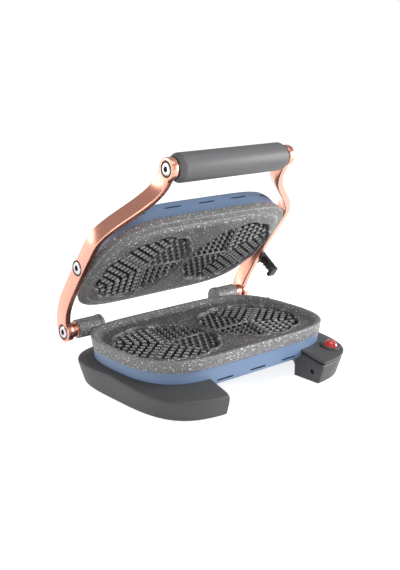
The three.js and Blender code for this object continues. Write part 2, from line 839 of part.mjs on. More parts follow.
// A triangle with round corners and bowed sides, as a lens outline
function lensOutline(radius) {
  const count = 18;
  return Array.from({ length: count }, (_, i) => {
    const turn = (i * 2 * Math.PI) / count;
    const waist = 1 - (1 - lensWaistShare) * (0.5 - Math.cos(3 * turn) / 2);
    return new THREE.Vector3(radius * waist * Math.cos(turn), radius * waist * Math.sin(turn), 0);
  });
}

function lensRing(radius, height) {
  return lensOutline(radius).map((p) => p.setZ(height));
}

function lampLens() {
  const domeShares = [[1, 0], [0.94, 0.45], [0.72, 0.82], [0.36, 1]];
  const foot = bezelHeight - lensDome / 4;
  const dome = domeShares.map(([out, up]) => lensRing(lensReach * out, foot + lensDome * up));
  return lofted([lensRing(lensReach, -lensSkirt), ...dome]);
}

// A low round rim on the cover that frames the lens
const bezel = turnedZ(
  [
    [0, -coverThickness / 2],
    [bezelRadius, -coverThickness / 2],
    [bezelRadius, bezelHeight / 2],
    [bezelRadius - bezelHeight / 2, bezelHeight],
    [0, bezelHeight],
  ],
  20,
);

const lampMatrix = lampPlace();
const mirroredLamp = mirrorX.clone().multiply(lampMatrix);
const lampHole = lofted([
  lensRing(lensReach + seatGap, -coverThickness * 2 - overrun * 2),
  lensRing(lensReach + seatGap, overrun),
]);
const holderHole = cylinderZ(holderRadius + runningGap, -holderLength * 2, overrun, 16);
const holder = cylinderZ(holderRadius, -lensSkirt - seatGap - holderLength, -lensSkirt - seatGap, 16);
const inPlace = (solid, matrix) => toSolid(toGeometry(solid), matrix);

function gland() {
  const wall = rimHalfDepth + rightFoot.backReach + rightFoot.draft / 2;
  const alongY = new THREE.Matrix4().makeRotationZ(Math.PI / 2);
  const place = moved(glandInset - rimHalfWidth, wall, glandHeight).multiply(alongY);
  const bush = turnedX(
    [
      [glandBore, -glandLength / 2],
      [glandRadius, -glandLength / 2],
      [glandRadius, seatGap],
      [glandFlange, seatGap],
      [glandFlange, glandLength / 4],
      [glandRadius, glandLength / 2],
      [glandBore, glandLength / 2],
      [glandBore, -glandLength / 2],
    ],
    16,
    place,
  );
  const seat = cylinderX(glandFlange, -footWall * 2, 0, 16, place);
  const hole = cylinderX(glandRadius + seatGap, -glandLength, overrun, 16, place);
  return { bush, seat, hole };
}

const cordGland = gland();
function rightFootBody() {
  const drop = coverThickness + coverGroove;
  let made = footShell(rightFoot, drop).add(cordGland.seat).subtract(cordGland.hole);
  made = made.subtract(inPlace(holderHole, lampMatrix));
  const hole = cylinderX(
    endHoleRadius,
    -footEndX - endHoleDepth,
    -footEndX + overrun,
    12,
    moved(0, endHoleInset - rimHalfDepth - rightFoot.frontReach, endHoleHeight),
  );
  return made.subtract(hole);
}

addPiece(base, "right_foot", inPlace(rightFootBody(), mirrorX), mattPlastic);
const cover = footCover().add(inPlace(bezel, lampMatrix)).subtract(inPlace(lampHole, lampMatrix));
addPiece(base, "right_foot_cover", inPlace(cover, mirrorX), mattPlastic);
addPiece(base, "lamp_lens", inPlace(lampLens(), mirroredLamp), redLens);
addPiece(base, "lamp_holder", inPlace(holder, mirroredLamp), blackPlastic);
addPiece(base, "cord_gland", inPlace(cordGland.bush, mirrorX), blackPlastic);

function terminals() {
  const { insetEnd, insetBack, width, depth, height } = terminalBlock;
  const x = rimHalfWidth - insetEnd;
  const y = rimHalfDepth - insetBack;
  const top = lowerShellBottom - seatGap - footWall - seatGap;
  const low = new THREE.Vector3(x - width / 2, y - depth / 2, top - height);
  const high = new THREE.Vector3(x + width / 2, y + depth / 2, top);
  let block = box(low, high);
  for (let i = 0; i < terminalCount; i++) {
    const place = moved(x + ((i - (terminalCount - 1) / 2) * width) / terminalCount, y, 0);
    block = block.subtract(cylinderZ(terminalRadius, low.z - overrun, low.z + height / 2, 10, place));
  }
  return block;
}
addPiece(base, "terminal_block", terminals(), ceramic);

// The arms' swing, from the lid's pivot when it is closed and when it is open
function pivotGeometry() {
  const hinge = new THREE.Vector2(hingeBack, hingeHeight);
  const closed = new THREE.Vector2(-pivotForward, rimHeight + rimGap + pivotRise).sub(hinge);
  const level = new THREE.Vector2(closed.length(), 0);
  const open = level.rotateAround(new THREE.Vector2(), toRadians(openArmAngle));
  const angle = closed.angle() - open.angle();
  const pivot = open.clone().add(hinge);
  const curve = strapCurve();
  const mount = curve.getPoint(latchShare);
  const latchClosed = mount.clone().rotateAround(hinge, angle);
  return {
    angle,
    pivot: new THREE.Vector3(0, pivot.x, pivot.y),
    latchOpen: new THREE.Vector3(0, mount.x, mount.y),
    latchClosed: new THREE.Vector3(0, latchClosed.x, latchClosed.y),
  };
}

// The arm's middle line in side view, as (y, z)
function strapCurve() {
  return new THREE.CubicBezierCurve(
    new THREE.Vector2(hingeBack, hingeHeight),
    new THREE.Vector2(hingeBack + lowerPullBack, hingeHeight + lowerPullUp),
    new THREE.Vector2(upperPullBack - handleForward, handleHeight - upperPullDown),
    new THREE.Vector2(-handleForward, handleHeight),
  );
}

// How far out the strap's outer face is, at a share of its curve
function strapOut(t) {
  const bow = THREE.MathUtils.smoothstep(t, 0, bowShare);
  const bend = THREE.MathUtils.smootherstep(t, bendShares.start, bendShares.start + bendShares.length);
  return armHingeX + (armMiddleX - armHingeX) * bow - (armMiddleX - armHandleX) * bend;
}

// The strap's width at a share of its curve, a parabola through its ends and middle
function strapWidth(t) {
  const hingeEnd = strapWidthHinge * (1 - t) * (1 - 2 * t);
  const handleEnd = strapWidthHandle * t * (2 * t - 1);
  return hingeEnd + strapWidthMiddle * 4 * t * (1 - t) + handleEnd;
}

// One section of the right strap: its outer face, edges broken, at a share of the curve
function strapSection(curve, t, beyond, halfWidth) {
  const middle = curve.getPoint(t);
  const tangent = curve.getTangent(t);
  middle.addScaledVector(tangent, beyond);
  const ahead = Math.min(1, t + slopeShare);
  const behind = Math.max(0, t - slopeShare);
  const run = curve.getPoint(ahead).distanceTo(curve.getPoint(behind));
  const lean = (strapOut(ahead) - strapOut(behind)) / run;
  const along = new THREE.Vector3(lean, tangent.x, tangent.y).normalize();
  const across = new THREE.Vector3(0, -tangent.y, tangent.x).normalize();
  const inward = along.clone().cross(across).normalize();
  if (inward.x > 0) inward.negate();
  const origin = new THREE.Vector3(strapOut(t), middle.x, middle.y);
  const edge = Math.min(strapEdge, halfWidth / 2);
  const corner = (w, d) => origin.clone().addScaledVector(across, w).addScaledVector(inward, d);
  return [
    corner(halfWidth - edge, 0),
    corner(halfWidth, edge),
    corner(halfWidth, strapThickness - edge),
    corner(halfWidth - edge, strapThickness),
    corner(edge - halfWidth, strapThickness),
    corner(-halfWidth, strapThickness - edge),
    corner(-halfWidth, edge),
    corner(edge - halfWidth, 0),
  ];
}

// The right strap with its round ends, before its holes
function strapBody() {
  const curve = strapCurve();
  const length = curve.getLength();
  const steepest = toRadians(82);
  const hingeBlend = Math.acos(Math.min(1, strapWidthHinge / 2 / lugRadiusHinge));
  const handleBlend = Math.acos(Math.min(1, strapWidthHandle / 2 / lugRadiusHandle));
  const rings = [];
  const lug = (radius, from, to, end) => {
    for (let i = 0; i <= lugSegments; i++) {
      const turn = from + ((to - from) * i) / lugSegments;
      const past = radius * Math.sin(turn);
      const inside = Math.max(0, -past);
      const t = curve.getUtoTmapping(end === 0 ? inside / length : 1 - inside / length);
      const beyond = Math.max(0, past) * (end === 0 ? -1 : 1);
      rings.push(strapSection(curve, t, beyond, radius * Math.cos(turn)));
    }
  };
  lug(lugRadiusHinge, steepest, -hingeBlend, 0);
  const from = curve.getUtoTmapping((lugRadiusHinge * Math.sin(hingeBlend)) / length);
  const to = curve.getUtoTmapping(1 - (lugRadiusHandle * Math.sin(handleBlend)) / length);
  for (let i = 1; i < strapSegments; i++) {
    const t = from + ((to - from) * i) / strapSegments;
    rings.push(strapSection(curve, t, 0, strapWidth(t) / 2));
  }
  lug(lugRadiusHandle, -handleBlend, steepest, 1);
  return lofted(rings);
}

// A hole across the strap with a counterbore for the screw's bush and head
function strapHole(outer, y, z) {
  const seat = outer + headProud - headHeight - bushThickness - seatGap;
  const place = moved(0, y, z);
  const hole = cylinderX(
    shankRadius + runningGap,
    outer - strapThickness - overrun,
    outer + overrun,
    roundSegments,
    place,
  );
  return hole.add(cylinderX(bushRadius + seatGap, seat, outer + overrun, roundSegments, place));
}

const hingePoint = new THREE.Vector3(armHingeX, hingeBack, hingeHeight);
const pivotPoint = new THREE.Vector3(armMiddleX, swing.pivot.y, swing.pivot.z);
const handlePoint = new THREE.Vector3(armHandleX, -handleForward, handleHeight);

function strap() {
  let made = strapBody();
  for (const { x, y, z } of [hingePoint, pivotPoint, handlePoint]) made = made.subtract(strapHole(x, y, z));
  return made;
}

// A cap screw along X: domed head outside, hexagonal socket, shank inwards
function screw({ x, y, z }, reach) {
  const face = x + headProud;
  const under = face - headHeight;
  const body = turnedX(
    [
      [0, reach],
      [shankRadius, reach],
      [shankRadius, under],
      [headRadius, under],
      [headRadius, face - headEdge],
      [headRadius - headEdge, face],
      [0, face],
    ],
    roundSegments,
    moved(0, y, z),
  );
  return body.subtract(cylinderX(socketRadius, face - socketDepth, face + overrun, 6, moved(0, y, z)));
}

// The black bush in the counterbore under a screw's head
function bush({ x, y, z }) {
  const under = x + headProud - headHeight - seatGap;
  const bore = shankRadius + runningGap;
  return ringX(bore, bushRadius, under - bushThickness, under, roundSegments, moved(0, y, z));
}

function ringX(inner, outer, from, to, segments, matrix) {
  const profile = [
    [inner, from],
    [outer, from],
    [outer, to],
    [inner, to],
    [inner, from],
  ];
  return turnedX(profile, segments, matrix);
}

const arms = new THREE.Group();
root.add(arms);
const strapInner = (x) => x - strapThickness;
const armMatrix = { left: mirrorX, right: new THREE.Matrix4() };
const lidEnd = lidHalfWidth + seatGap * 2;
for (const side of Object.keys(sides)) {
  const place = (solid) => inPlace(solid, armMatrix[side]);
  const { y: hingeY, z: hingeZ } = hingePoint;
  const arm = side === "right" ? strap().subtract(latchScrewHole()) : strap();
  addPiece(arms, `arm_${side}`, place(arm), copper);
  addPiece(arms, `hinge_screw_${side}`, place(screw(hingePoint, barrelOuter - hingeBore + seatGap)), steel);
  addPiece(arms, `hinge_bush_${side}`, place(bush(hingePoint)), blackPlastic);
  const boss = ringX(
    shankRadius + runningGap,
    hingeBossRadius,
    barrelOuter + seatGap,
    strapInner(armHingeX) - seatGap,
    roundSegments,
    moved(0, hingeY, hingeZ),
  );
  addPiece(arms, `hinge_boss_${side}`, place(boss), copper);
  addPiece(arms, `lid_pivot_screw_${side}`, place(screw(pivotPoint, lidEnd - pivotBossLength / 2)), steel);
  addPiece(arms, `lid_pivot_bush_${side}`, place(bush(pivotPoint)), blackPlastic);
  const spacer = ringX(
    shankRadius + runningGap,
    pivotBossRadius,
    lidEnd + seatGap,
    strapInner(armMiddleX) - seatGap,
    roundSegments,
    moved(0, pivotPoint.y, pivotPoint.z),
  );
  addPiece(arms, `lid_pivot_spacer_${side}`, place(spacer), steel);
  const rodEnd = strapInner(armHandleX) - seatGap;
  addPiece(arms, `handle_screw_${side}`, place(screw(handlePoint, rodEnd - pivotBossLength)), steel);
  addPiece(arms, `handle_bush_${side}`, place(bush(handlePoint)), blackPlastic);
  const washer = ringX(
    rodRadius + seatGap,
    ringRadius,
    gripHalfLength + seatGap,
    rodEnd,
    roundSegments,
    moved(0, handlePoint.y, handlePoint.z),
  );
  addPiece(arms, `grip_ring_${side}`, place(washer), blackPlastic);
}

// The rod that joins the arms, tapped at both ends, and the grip round it
function handleRod() {
  const end = strapInner(armHandleX) - seatGap;
  const place = moved(0, handlePoint.y, handlePoint.z);
  let rod = cylinderX(rodRadius, -end, end, 16, place);
  for (const sign of Object.values(sides)) {
    const [from, to] = [sign * (end - pivotBossLength - seatGap), sign * (end + overrun)];
    rod = rod.subtract(cylinderX(shankRadius + seatGap, Math.min(from, to), Math.max(from, to), 16, place));
  }
  return rod;
}

function handleGrip() {
  const place = moved(0, handlePoint.y, handlePoint.z);
  const bore = rodRadius + seatGap;
  const profile = [
    [bore, -gripHalfLength],
    [gripRadius - gripEdge, -gripHalfLength],
    [gripRadius, gripEdge - gripHalfLength],
    [gripRadius, gripHalfLength - gripEdge],
    [gripRadius - gripEdge, gripHalfLength],
    [bore, gripHalfLength],
    [bore, -gripHalfLength],
  ];
  return turnedX(profile, 24, place);
}
addPiece(arms, "handle_rod", handleRod(), steel);
addPiece(arms, "handle_grip", handleGrip(), gripGrey);

// The lid: built like the lower half with its cooking face up, then turned over on its pivots
const lid = new THREE.Group();
lid.position.copy(swing.pivot);
lid.rotation.x = -toRadians(openTilt);
arms.add(lid);
const upperHalf = new THREE.Group();
upperHalf.position.set(0, pivotForward, -pivotRise);
lid.add(upperHalf);

// The lid's pivot bosses, cast on the ends of its plate
function upperPlate() {
  const place = moved(0, -pivotForward, -pivotRise);
  const boreFrom = lidEnd - pivotBossLength / 2 - seatGap;
  const boss = cylinderX(pivotBossRadius, lidEnd - pivotBossLength, lidEnd, 16, place);
  const bore = cylinderX(shankRadius + runningGap, boreFrom, lidEnd + overrun, roundSegments, place);
  let plate = castPlate(lidHalfWidth, lidHalfDepth, upperLand, upperSkirt, upperBead, lidBottom + sheet);
  for (const matrix of Object.values(armMatrix)) {
    plate = plate.add(inPlace(boss, matrix)).subtract(inPlace(bore, matrix));
  }
  return inPlace(plate, mirrorZ);
}

function upperShell() {
  const ventAt = -upperVentRise;
  const place = moved(0, -pivotForward, -pivotRise);
  const reach = lidHalfWidth + overrun;
  let shell = ventedShell(lidHalfWidth, lidHalfDepth, upperSkirt, lidBottom, ventAt, upperVentCount);
  for (const sign of Object.values(sides)) {
    const [from, to] = [sign * (lidEnd - pivotBossLength - seatGap), sign * reach];
    const notch = cylinderX(pivotBossRadius + seatGap, Math.min(from, to), Math.max(from, to), 20, place);
    shell = shell.subtract(notch);
  }
  return inPlace(shell, mirrorZ);
}

addPiece(upperHalf, "upper_plate", upperPlate(), graniteCoat);
addPiece(upperHalf, "upper_housing", upperShell(), bluePaint);
const upperElement = inPlace(heatingElement(lidHalfWidth, lidHalfDepth, upperFloor), mirrorZ);
addPiece(upperHalf, "upper_heating_element", upperElement, blackSteel);
const upperReflector = inPlace(reflector(lidHalfWidth, lidHalfDepth, upperFloor), mirrorZ);
addPiece(upperHalf, "upper_reflector", upperReflector, aluminium);
addPiece(upperHalf, "upper_thermostat", inPlace(thermostat(upperFloor), mirrorZ), ceramic);

// The latch: a channel whose toe turns under the plate's peg when the lid is shut, upright in its own frame
const latch = new THREE.Group();
latch.position.copy(swing.latchOpen).setX(armMiddleX);
latch.rotation.x = -swing.angle;
arms.add(latch);

function latchLever() {
  const web = latchReach - latchWeb;
  const foot = -latchDrop - latchToe;
  const notches = [];
  for (let i = 0; i < latchNotches; i++) {
    const height = -latchHead - latchNotchPitch * (i + 1);
    notches.push(
      new THREE.Vector2(web - latchNotch, height + latchNotchPitch / 2),
      new THREE.Vector2(web, height + latchNotchPitch / 2),
      new THREE.Vector2(web, height),
      new THREE.Vector2(web - latchNotch, height),
    );
  }
  const outline = [
    new THREE.Vector2(seatGap, latchHead),
    new THREE.Vector2(seatGap, -latchHead),
    new THREE.Vector2(web - latchNotch, -latchHead),
    ...notches,
    new THREE.Vector2(web, -latchDrop + latchToe),
    new THREE.Vector2(web, -latchDrop),
    new THREE.Vector2(latchToeGap, -latchDrop),
    new THREE.Vector2(latchToeGap, foot),
    new THREE.Vector2(latchReach, foot),
    new THREE.Vector2(latchReach, latchHead),
  ];
  const upright = new THREE.Matrix4().makeRotationX(Math.PI / 2);
  const lever = prism(outline, -latchWidth / 2, latchWidth / 2, upright);
  return lever.subtract(cylinderX(latchScrewRadius + runningGap, -overrun, latchReach + overrun, 12));
}

function latchScrew() {
  const head = latchReach + runningGap;
  return turnedX(
    [
      [0, -strapThickness / 2],
      [latchScrewRadius, -strapThickness / 2],
      [latchScrewRadius, head],
      [latchScrewHead, head],
      [latchScrewHead, head + latchWeb - headEdge],
      [latchScrewHead - headEdge, head + latchWeb],
      [0, head + latchWeb],
    ],
    roundSegments,
  );
}

function latchScrewHole() {
  const place = moved(armMiddleX, swing.latchOpen.y, swing.latchOpen.z);
  return cylinderX(latchScrewRadius + seatGap, -strapThickness / 2 - seatGap, overrun, 12, place);
}

addPiece(latch, "latch_lever", latchLever(), blackPlastic);
addPiece(latch, "latch_screw", latchScrew(), steel);

// The origin is the middle of the footprint of the whole part, on the ground
const bounds = new THREE.Box3().setFromObject(root, true);
const centre = bounds.getCenter(new THREE.Vector3());
root.position.set(-centre.x, -centre.y, -bounds.min.z);

export default root;
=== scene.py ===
"""Dresses the frame of a double waffle maker: its castings, shells, arms, feet, handle and fittings."""
from math import acos, atan2, copysign, cos, hypot, pi, radians, sin

import bmesh
import bpy
from mathutils import Matrix, Vector


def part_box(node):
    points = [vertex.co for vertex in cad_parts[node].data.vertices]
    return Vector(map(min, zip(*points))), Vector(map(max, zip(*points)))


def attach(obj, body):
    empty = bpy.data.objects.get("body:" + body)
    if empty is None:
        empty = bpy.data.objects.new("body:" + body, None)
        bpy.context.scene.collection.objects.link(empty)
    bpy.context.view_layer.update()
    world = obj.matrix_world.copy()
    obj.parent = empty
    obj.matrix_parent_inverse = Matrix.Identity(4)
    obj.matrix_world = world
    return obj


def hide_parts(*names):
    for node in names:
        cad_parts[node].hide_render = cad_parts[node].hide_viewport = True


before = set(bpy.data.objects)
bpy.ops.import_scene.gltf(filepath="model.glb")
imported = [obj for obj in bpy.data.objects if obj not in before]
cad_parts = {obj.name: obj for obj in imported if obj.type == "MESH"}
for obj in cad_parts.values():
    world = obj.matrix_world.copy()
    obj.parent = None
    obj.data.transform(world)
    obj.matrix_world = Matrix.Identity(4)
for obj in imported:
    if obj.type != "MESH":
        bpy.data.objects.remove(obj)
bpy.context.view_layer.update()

MM = 0.001

# Sizes in millimetres, from the middle of the lower plate on the ground
RIM_HEIGHT, LID_RIM_HEIGHT = 60.9, 61.4
RIM_WIDTH, RIM_DEPTH = 140.0, 90.6
LID_WIDTH, LID_DEPTH = 139.0, 85.5
OVAL_SHARES = (5.25, 2.78)
FOOT_SHARES = (5.25, 3.4)
LOWER_LAND, UPPER_LAND = -7.4, 5.1
LAND_INSET = 17.0
LOWER_SKIRT, UPPER_SKIRT = 14.0, 10.0
LOWER_CROWNS, UPPER_CROWNS = RIM_HEIGHT + LOWER_LAND, LID_RIM_HEIGHT - UPPER_LAND
STAR_OFFSET, STAR_ANGLE, HEART_SECTOR = 65.2, 1.8, 72
STAR_RADIUS, LOBE_RISE, LOBE_COUNT, LOBE_STEPS = 59.6, 4.6, 10, 12
RIDGE_HEIGHT, RIDGE_REACH, RIDGE_PITCH, TOOTH_PITCH = 6.0, 57.6, 9.0, 9.2
RIBBED_BORDERS = (0, 1, 3)
LOWER_SHELL_BOTTOM, UPPER_SHELL_RISE = 24.6, 36.0
SHELL_INSET, SHELL_FLAT_INSET, SHEET = 3.0, 26.0, 1.2
HINGE_BACK, HINGE_HEIGHT = 95.65, 58.0
HANDLE_FORWARD, HANDLE_HEIGHT = 36.0, 260.4
ARM_HINGE_X, ARM_MIDDLE_X, ARM_HANDLE_X = 145.0, 150.6, 91.6
BARREL_START, BARREL_END = 91, 127
STRAP_THICKNESS, STRAP_EDGE, STRAP_WIDTHS = 8.4, 1.6, (21.3, 18, 19.4)
HINGE_LUG, HANDLE_LUG = 12.2, 12.6
HEAD_HEIGHT, HEAD_PROUD, HEAD_PLAY = 3.4, 0.7, 0.3
LATCH_REACH, LATCH_PLAY, PEG_RADIUS = 28, 0.5, 3
VENT_LENGTH, VENT_WIDTH = 24.0, 2.0
MOULDING_WALL, FOOT_INSET, FOOT_END, FOOT_BACK_REACH, COVER_DROP = 2.6, 27, 71.7, 12.4, 4.4
POST_OUT, POST_PLACES = 98, {"front": -93, "back": 88}
END_HOLE_Y, END_HOLE_HEIGHT = -105, 13.3
GLAND_OUT, GLAND_WALL, GLAND_HEIGHT = 86, RIM_DEPTH + FOOT_BACK_REACH + 3.7, 13
LID_TILT, LATCH_TURN, LAMP_TURN = radians(44.8), radians(30), radians(56)
LID_PIVOT_CLOSED = Vector((0.0, -1.0, 72.4))

low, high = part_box("handle_grip")
PLATE_MIDDLE = Vector(((low[0] + high[0]) / 2, (low[1] + high[1]) / 2 + HANDLE_FORWARD * MM, 0.0))
low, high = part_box("lid_pivot_screw_left")
LID_PIVOT = Vector((0.0, ((low[1] + high[1]) / 2 - PLATE_MIDDLE.y) / MM, (low[2] + high[2]) / 2 / MM))


# Bench work: drawing up, turning, cutting and softening


def put_down():
    if bpy.context.object and bpy.context.object.mode != "OBJECT":
        bpy.ops.object.mode_set(mode="OBJECT")
    bpy.ops.object.select_all(action="DESELECT")


def pick_up(piece):
    put_down()
    piece.select_set(True)
    bpy.context.view_layer.objects.active = piece


def open_up(piece):
    """Opens a piece for changes to its mesh, with all of it selected."""
    pick_up(piece)
    bpy.ops.object.mode_set(mode="EDIT")
    bpy.ops.mesh.select_all(action="SELECT")


def cut_away(place, normal, threshold=0.0001):
    """Cuts off what the open piece has beyond a plane, and closes the cut."""
    bpy.ops.mesh.select_all(action="SELECT")
    bpy.ops.mesh.bisect(
        plane_co=place * MM, plane_no=normal, use_fill=True, clear_outer=True, threshold=threshold
    )


def face_outward():
    """Turns all faces of the open piece outward and closes it."""
    bpy.ops.mesh.select_all(action="SELECT")
    bpy.ops.mesh.normals_make_consistent(inside=False)
    bpy.ops.object.mode_set(mode="OBJECT")


def lay_corners(piece, ring):
    shape = bmesh.from_edit_mesh(piece.data)
    for corner, place in zip([v for v in shape.verts if v.select], ring):
        corner.co = Vector(place) * MM
    bmesh.update_edit_mesh(piece.data)


def draw_up(name, rings, closed_ends=True):
    """A wall drawn from one ring of places to the next, its ends closed."""
    put_down()
    bpy.ops.mesh.primitive_circle_add(vertices=len(rings[0]), radius=10 * MM)
    piece = bpy.context.object
    piece.name = name
    bpy.ops.object.mode_set(mode="EDIT")
    lay_corners(piece, rings[0])
    for ring in rings[1:]:
        bpy.ops.mesh.extrude_edges_move()
        lay_corners(piece, ring)
    if closed_ends:
        bpy.ops.mesh.edge_face_add()
        bpy.ops.mesh.select_all(action="DESELECT")
        bpy.ops.mesh.select_non_manifold()
        bpy.ops.mesh.edge_face_add()
    bpy.ops.mesh.select_all(action="SELECT")
    bpy.ops.mesh.remove_doubles(threshold=0.01 * MM)
    face_outward()
    return piece


def turn_along(name, centre, profile, axis="X", steps=48, closed_ends=True):
    """A body turned from (radius, along) places about an axis through a centre."""
    x, y, z = centre
    rings = []
    for radius, along in profile:
        turns = [(i + 0.5) * 2 * pi / steps for i in range(steps)]
        pairs = [(radius * cos(a), radius * sin(a)) for a in turns]
        if axis == "X":
            rings.append([(x + along, y + u, z + v) for u, v in pairs])
        elif axis == "Y":
            rings.append([(x + u, y + along, z - v) for u, v in pairs])
        else:
            rings.append([(x + u, y + v, z + along) for u, v in pairs])
    return draw_up(name, rings, closed_ends)


def apply_change(piece, change):
    pick_up(piece)
    bpy.ops.object.modifier_apply(modifier=change.name)


def carve(piece, tool):
    change = piece.modifiers.new("carve", "BOOLEAN")
    change.operation = "DIFFERENCE"
    change.solver = "EXACT"
    change.object = tool
    apply_change(piece, change)
    bpy.data.objects.remove(tool, do_unlink=True)


def soften(piece, width, segments=2, angle=30):
    change = piece.modifiers.new("soften", "BEVEL")
    change.width = width * MM
    change.segments = segments
    change.limit_method = "ANGLE"
    change.angle_limit = radians(angle)
    apply_change(piece, change)


def smooth(piece, angle=32):
    pick_up(piece)
    bpy.ops.object.shade_smooth_by_angle(angle=radians(angle))


def turned(*measures, angle=32, **options):
    """A turned body, shaded smooth."""
    piece = turn_along(*measures, **options)
    smooth(piece, angle)
    return piece


def weld(piece, *others):
    put_down()
    for part in (piece, *others):
        part.select_set(True)
    bpy.context.view_layer.objects.active = piece
    bpy.ops.object.join()
    return piece


def paint_shade(piece, finish, picked):
    """A second finish on the faces picked by their place: black painted shade in sockets and holes."""
    piece.data.materials.append(finish)
    for face in piece.data.polygons:
        if picked(*((face.center - PLATE_MIDDLE) / MM)):
            face.material_index = 1


def twin(piece, name):
    copy = piece.copy()
    copy.data = piece.data.copy()
    copy.name = name
    bpy.context.collection.objects.link(copy)
    return copy


def flip(piece, normal=(1, 0, 0)):
    """Makes a piece its own mirror image."""
    piece.data.transform(Matrix.Scale(-1, 4, Vector(normal)))
    open_up(piece)
    face_outward()
    return piece


def mirrored(piece, name):
    return flip(twin(piece, name))


def place_of(on_lid):
    """From the plate's measure, with the lid shut, to the object's place, with it raised."""
    place = Matrix.Translation(PLATE_MIDDLE)
    if on_lid:
        tilt = Matrix.Rotation(-LID_TILT, 4, "X")
        place = place @ Matrix.Translation(LID_PIVOT * MM) @ tilt @ Matrix.Translation(-LID_PIVOT_CLOSED * MM)
    return place


def dress(piece, finish, body, node):
    """Gives a piece its finish, lets it ride and stands it in for its node."""
    piece.data.materials.clear()
    piece.data.materials.append(finish)
    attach(piece, body)
    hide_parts(node)


def settle(piece, finish, body, node, on_lid=False):
    """Moves a finished piece to its place and dresses it."""
    piece.data.transform(place_of(on_lid))
    dress(piece, finish, body, node)


def lift(piece, height):
    piece.data.transform(Matrix.Translation((0, 0, height * MM)))


def smooth_step(share):
    share = min(1.0, max(0.0, share))
    return share * share * (3 - 2 * share)


def smoother_step(share):
    share = min(1.0, max(0.0, share))
    return share**3 * (share * (share * 6 - 15) + 10)


def flowing(points, steps):
    """A curve through points, with its ends drawn on."""
    first = [2 * a - b for a, b in zip(points[0], points[1])]
    last = [2 * a - b for a, b in zip(points[-1], points[-2])]
    line = [first, *points, last]
    made = []
    for i in range(len(points) - 1):
        p, q, r, s = line[i : i + 4]
        for k in range(steps):
            t = k / steps
            made.append([
                0.5 * (2 * b + (c - a) * t + (2 * a - 5 * b + 4 * c - d) * t * t
                       + (3 * b - a - 3 * c + d) * t**3)
                for a, b, c, d in zip(p, q, r, s)
            ])
    made.append(list(points[-1]))
    return made


# Finishes


def tint(red, green=None, blue=None):
    """A colour as a photograph shows it, made linear. One number is a grey."""
    def linear(value):
        value /= 255
        return value / 12.92 if value <= 0.04045 else ((value + 0.055) / 1.055) ** 2.4
    return (linear(red), linear(red if green is None else green), linear(red if blue is None else blue), 1.0)


def group_start(name, numbers, outputs):
    """A group of nodes that takes a place and some numbers and gives shares."""
    tree = bpy.data.node_groups.new(name, "ShaderNodeTree")
    tree.interface.new_socket("Place", in_out="INPUT", socket_type="NodeSocketVector")
    for label, number in numbers.items():
        socket = tree.interface.new_socket(label, in_out="INPUT", socket_type="NodeSocketFloat")
        socket.default_value = number
    for label in outputs:
        tree.interface.new_socket(label, in_out="OUTPUT", socket_type="NodeSocketFloat")
    return tree, tree.nodes.new("NodeGroupInput"), tree.nodes.new("NodeGroupOutput")


def feed(tree, socket, value):
    """Sets an input, or links it where the value comes from another node."""
    if isinstance(value, bpy.types.NodeSocket):
        tree.links.new(value, socket)
    else:
        socket.default_value = value


def set_inputs(tree, node, **values):
    for label, value in values.items():
        feed(tree, node.inputs[label.replace("_", " ")], value)
    return node


def add_node(tree, kind, **values):
    return set_inputs(tree, tree.nodes.new("ShaderNode" + kind), **values)


def sum_node(tree, operation, *values):
    node = add_node(tree, "Math")
    node.operation = operation
    for socket, value in zip(node.inputs, values):
        feed(tree, socket, value)
    return node.outputs[0]


def build_speck_group():
    """White flecks thrown over a coating: a mask, and a fine grain under it."""
    numbers = {"Density": 200.0, "Size": 0.16, "Amount": 0.6}
    tree, start, end = group_start("stone_flecks", numbers, ("Flecks", "Grain"))
    place = start.outputs["Place"]
    cells = add_node(tree, "TexVoronoi", Vector=place, Scale=start.outputs["Density"])
    chance = add_node(tree, "SeparateColor", Color=cells.outputs["Color"])
    grow = sum_node(tree, "MULTIPLY_ADD", chance.outputs["Green"], 0.75, 0.35)
    radius = sum_node(tree, "MULTIPLY", grow, start.outputs["Size"])
    inside = sum_node(tree, "DIVIDE", cells.outputs["Distance"], radius)
    kept = sum_node(tree, "LESS_THAN", chance.outputs["Red"], start.outputs["Amount"])
    flecks = sum_node(tree, "MULTIPLY", ranged(tree, inside, 1.15, 0.75), kept)
    noise = add_node(tree, "TexNoise", Scale=900.0, Detail=3.0, Vector=place)
    set_inputs(tree, end, Flecks=flecks, Grain=noise.outputs["Fac"])
    return tree


def build_grain_group():
    """Two sizes of grain for paints and mouldings."""
    tree, start, end = group_start("fine_grain", {"Scale": 900.0, "Cloud Scale": 18.0}, ("Grain", "Cloud"))
    for scale, label in (("Scale", "Grain"), ("Cloud Scale", "Cloud")):
        place, fineness = start.outputs["Place"], start.outputs[scale]
        noise = add_node(tree, "TexNoise", Detail=4.0, Vector=place, Scale=fineness)
        tree.links.new(noise.outputs["Fac"], end.inputs[label])
    return tree


def finish_start(name, roughness, metallic=0.0):
    finish = bpy.data.materials.new(name)
    finish.use_nodes = True
    tree = finish.node_tree
    shader = set_inputs(tree, tree.nodes["Principled BSDF"], Roughness=roughness, Metallic=metallic)
    place = add_node(tree, "TexCoord").outputs["Object"]
    return finish, tree, shader, place


def grouped(tree, group, place, **values):
    node = add_node(tree, "Group")
    node.node_tree = group
    return set_inputs(tree, node, Place=place, **values)


def blended(tree, share, dark, light):
    """A colour between two, by a share that changes over the surface."""
    mix = add_node(tree, "Mix")
    mix.data_type = "RGBA"
    return set_inputs(tree, mix, Factor=share, A=dark, B=light).outputs["Result"]


def ranged(tree, value, low_end, high_end, low_value=0, high_value=1):
    """A value between two ends, drawn out to run between two others."""
    ends = {"From_Min": low_end, "From_Max": high_end, "To_Min": low_value, "To_Max": high_value}
    return add_node(tree, "MapRange", Value=value, **ends).outputs["Result"]


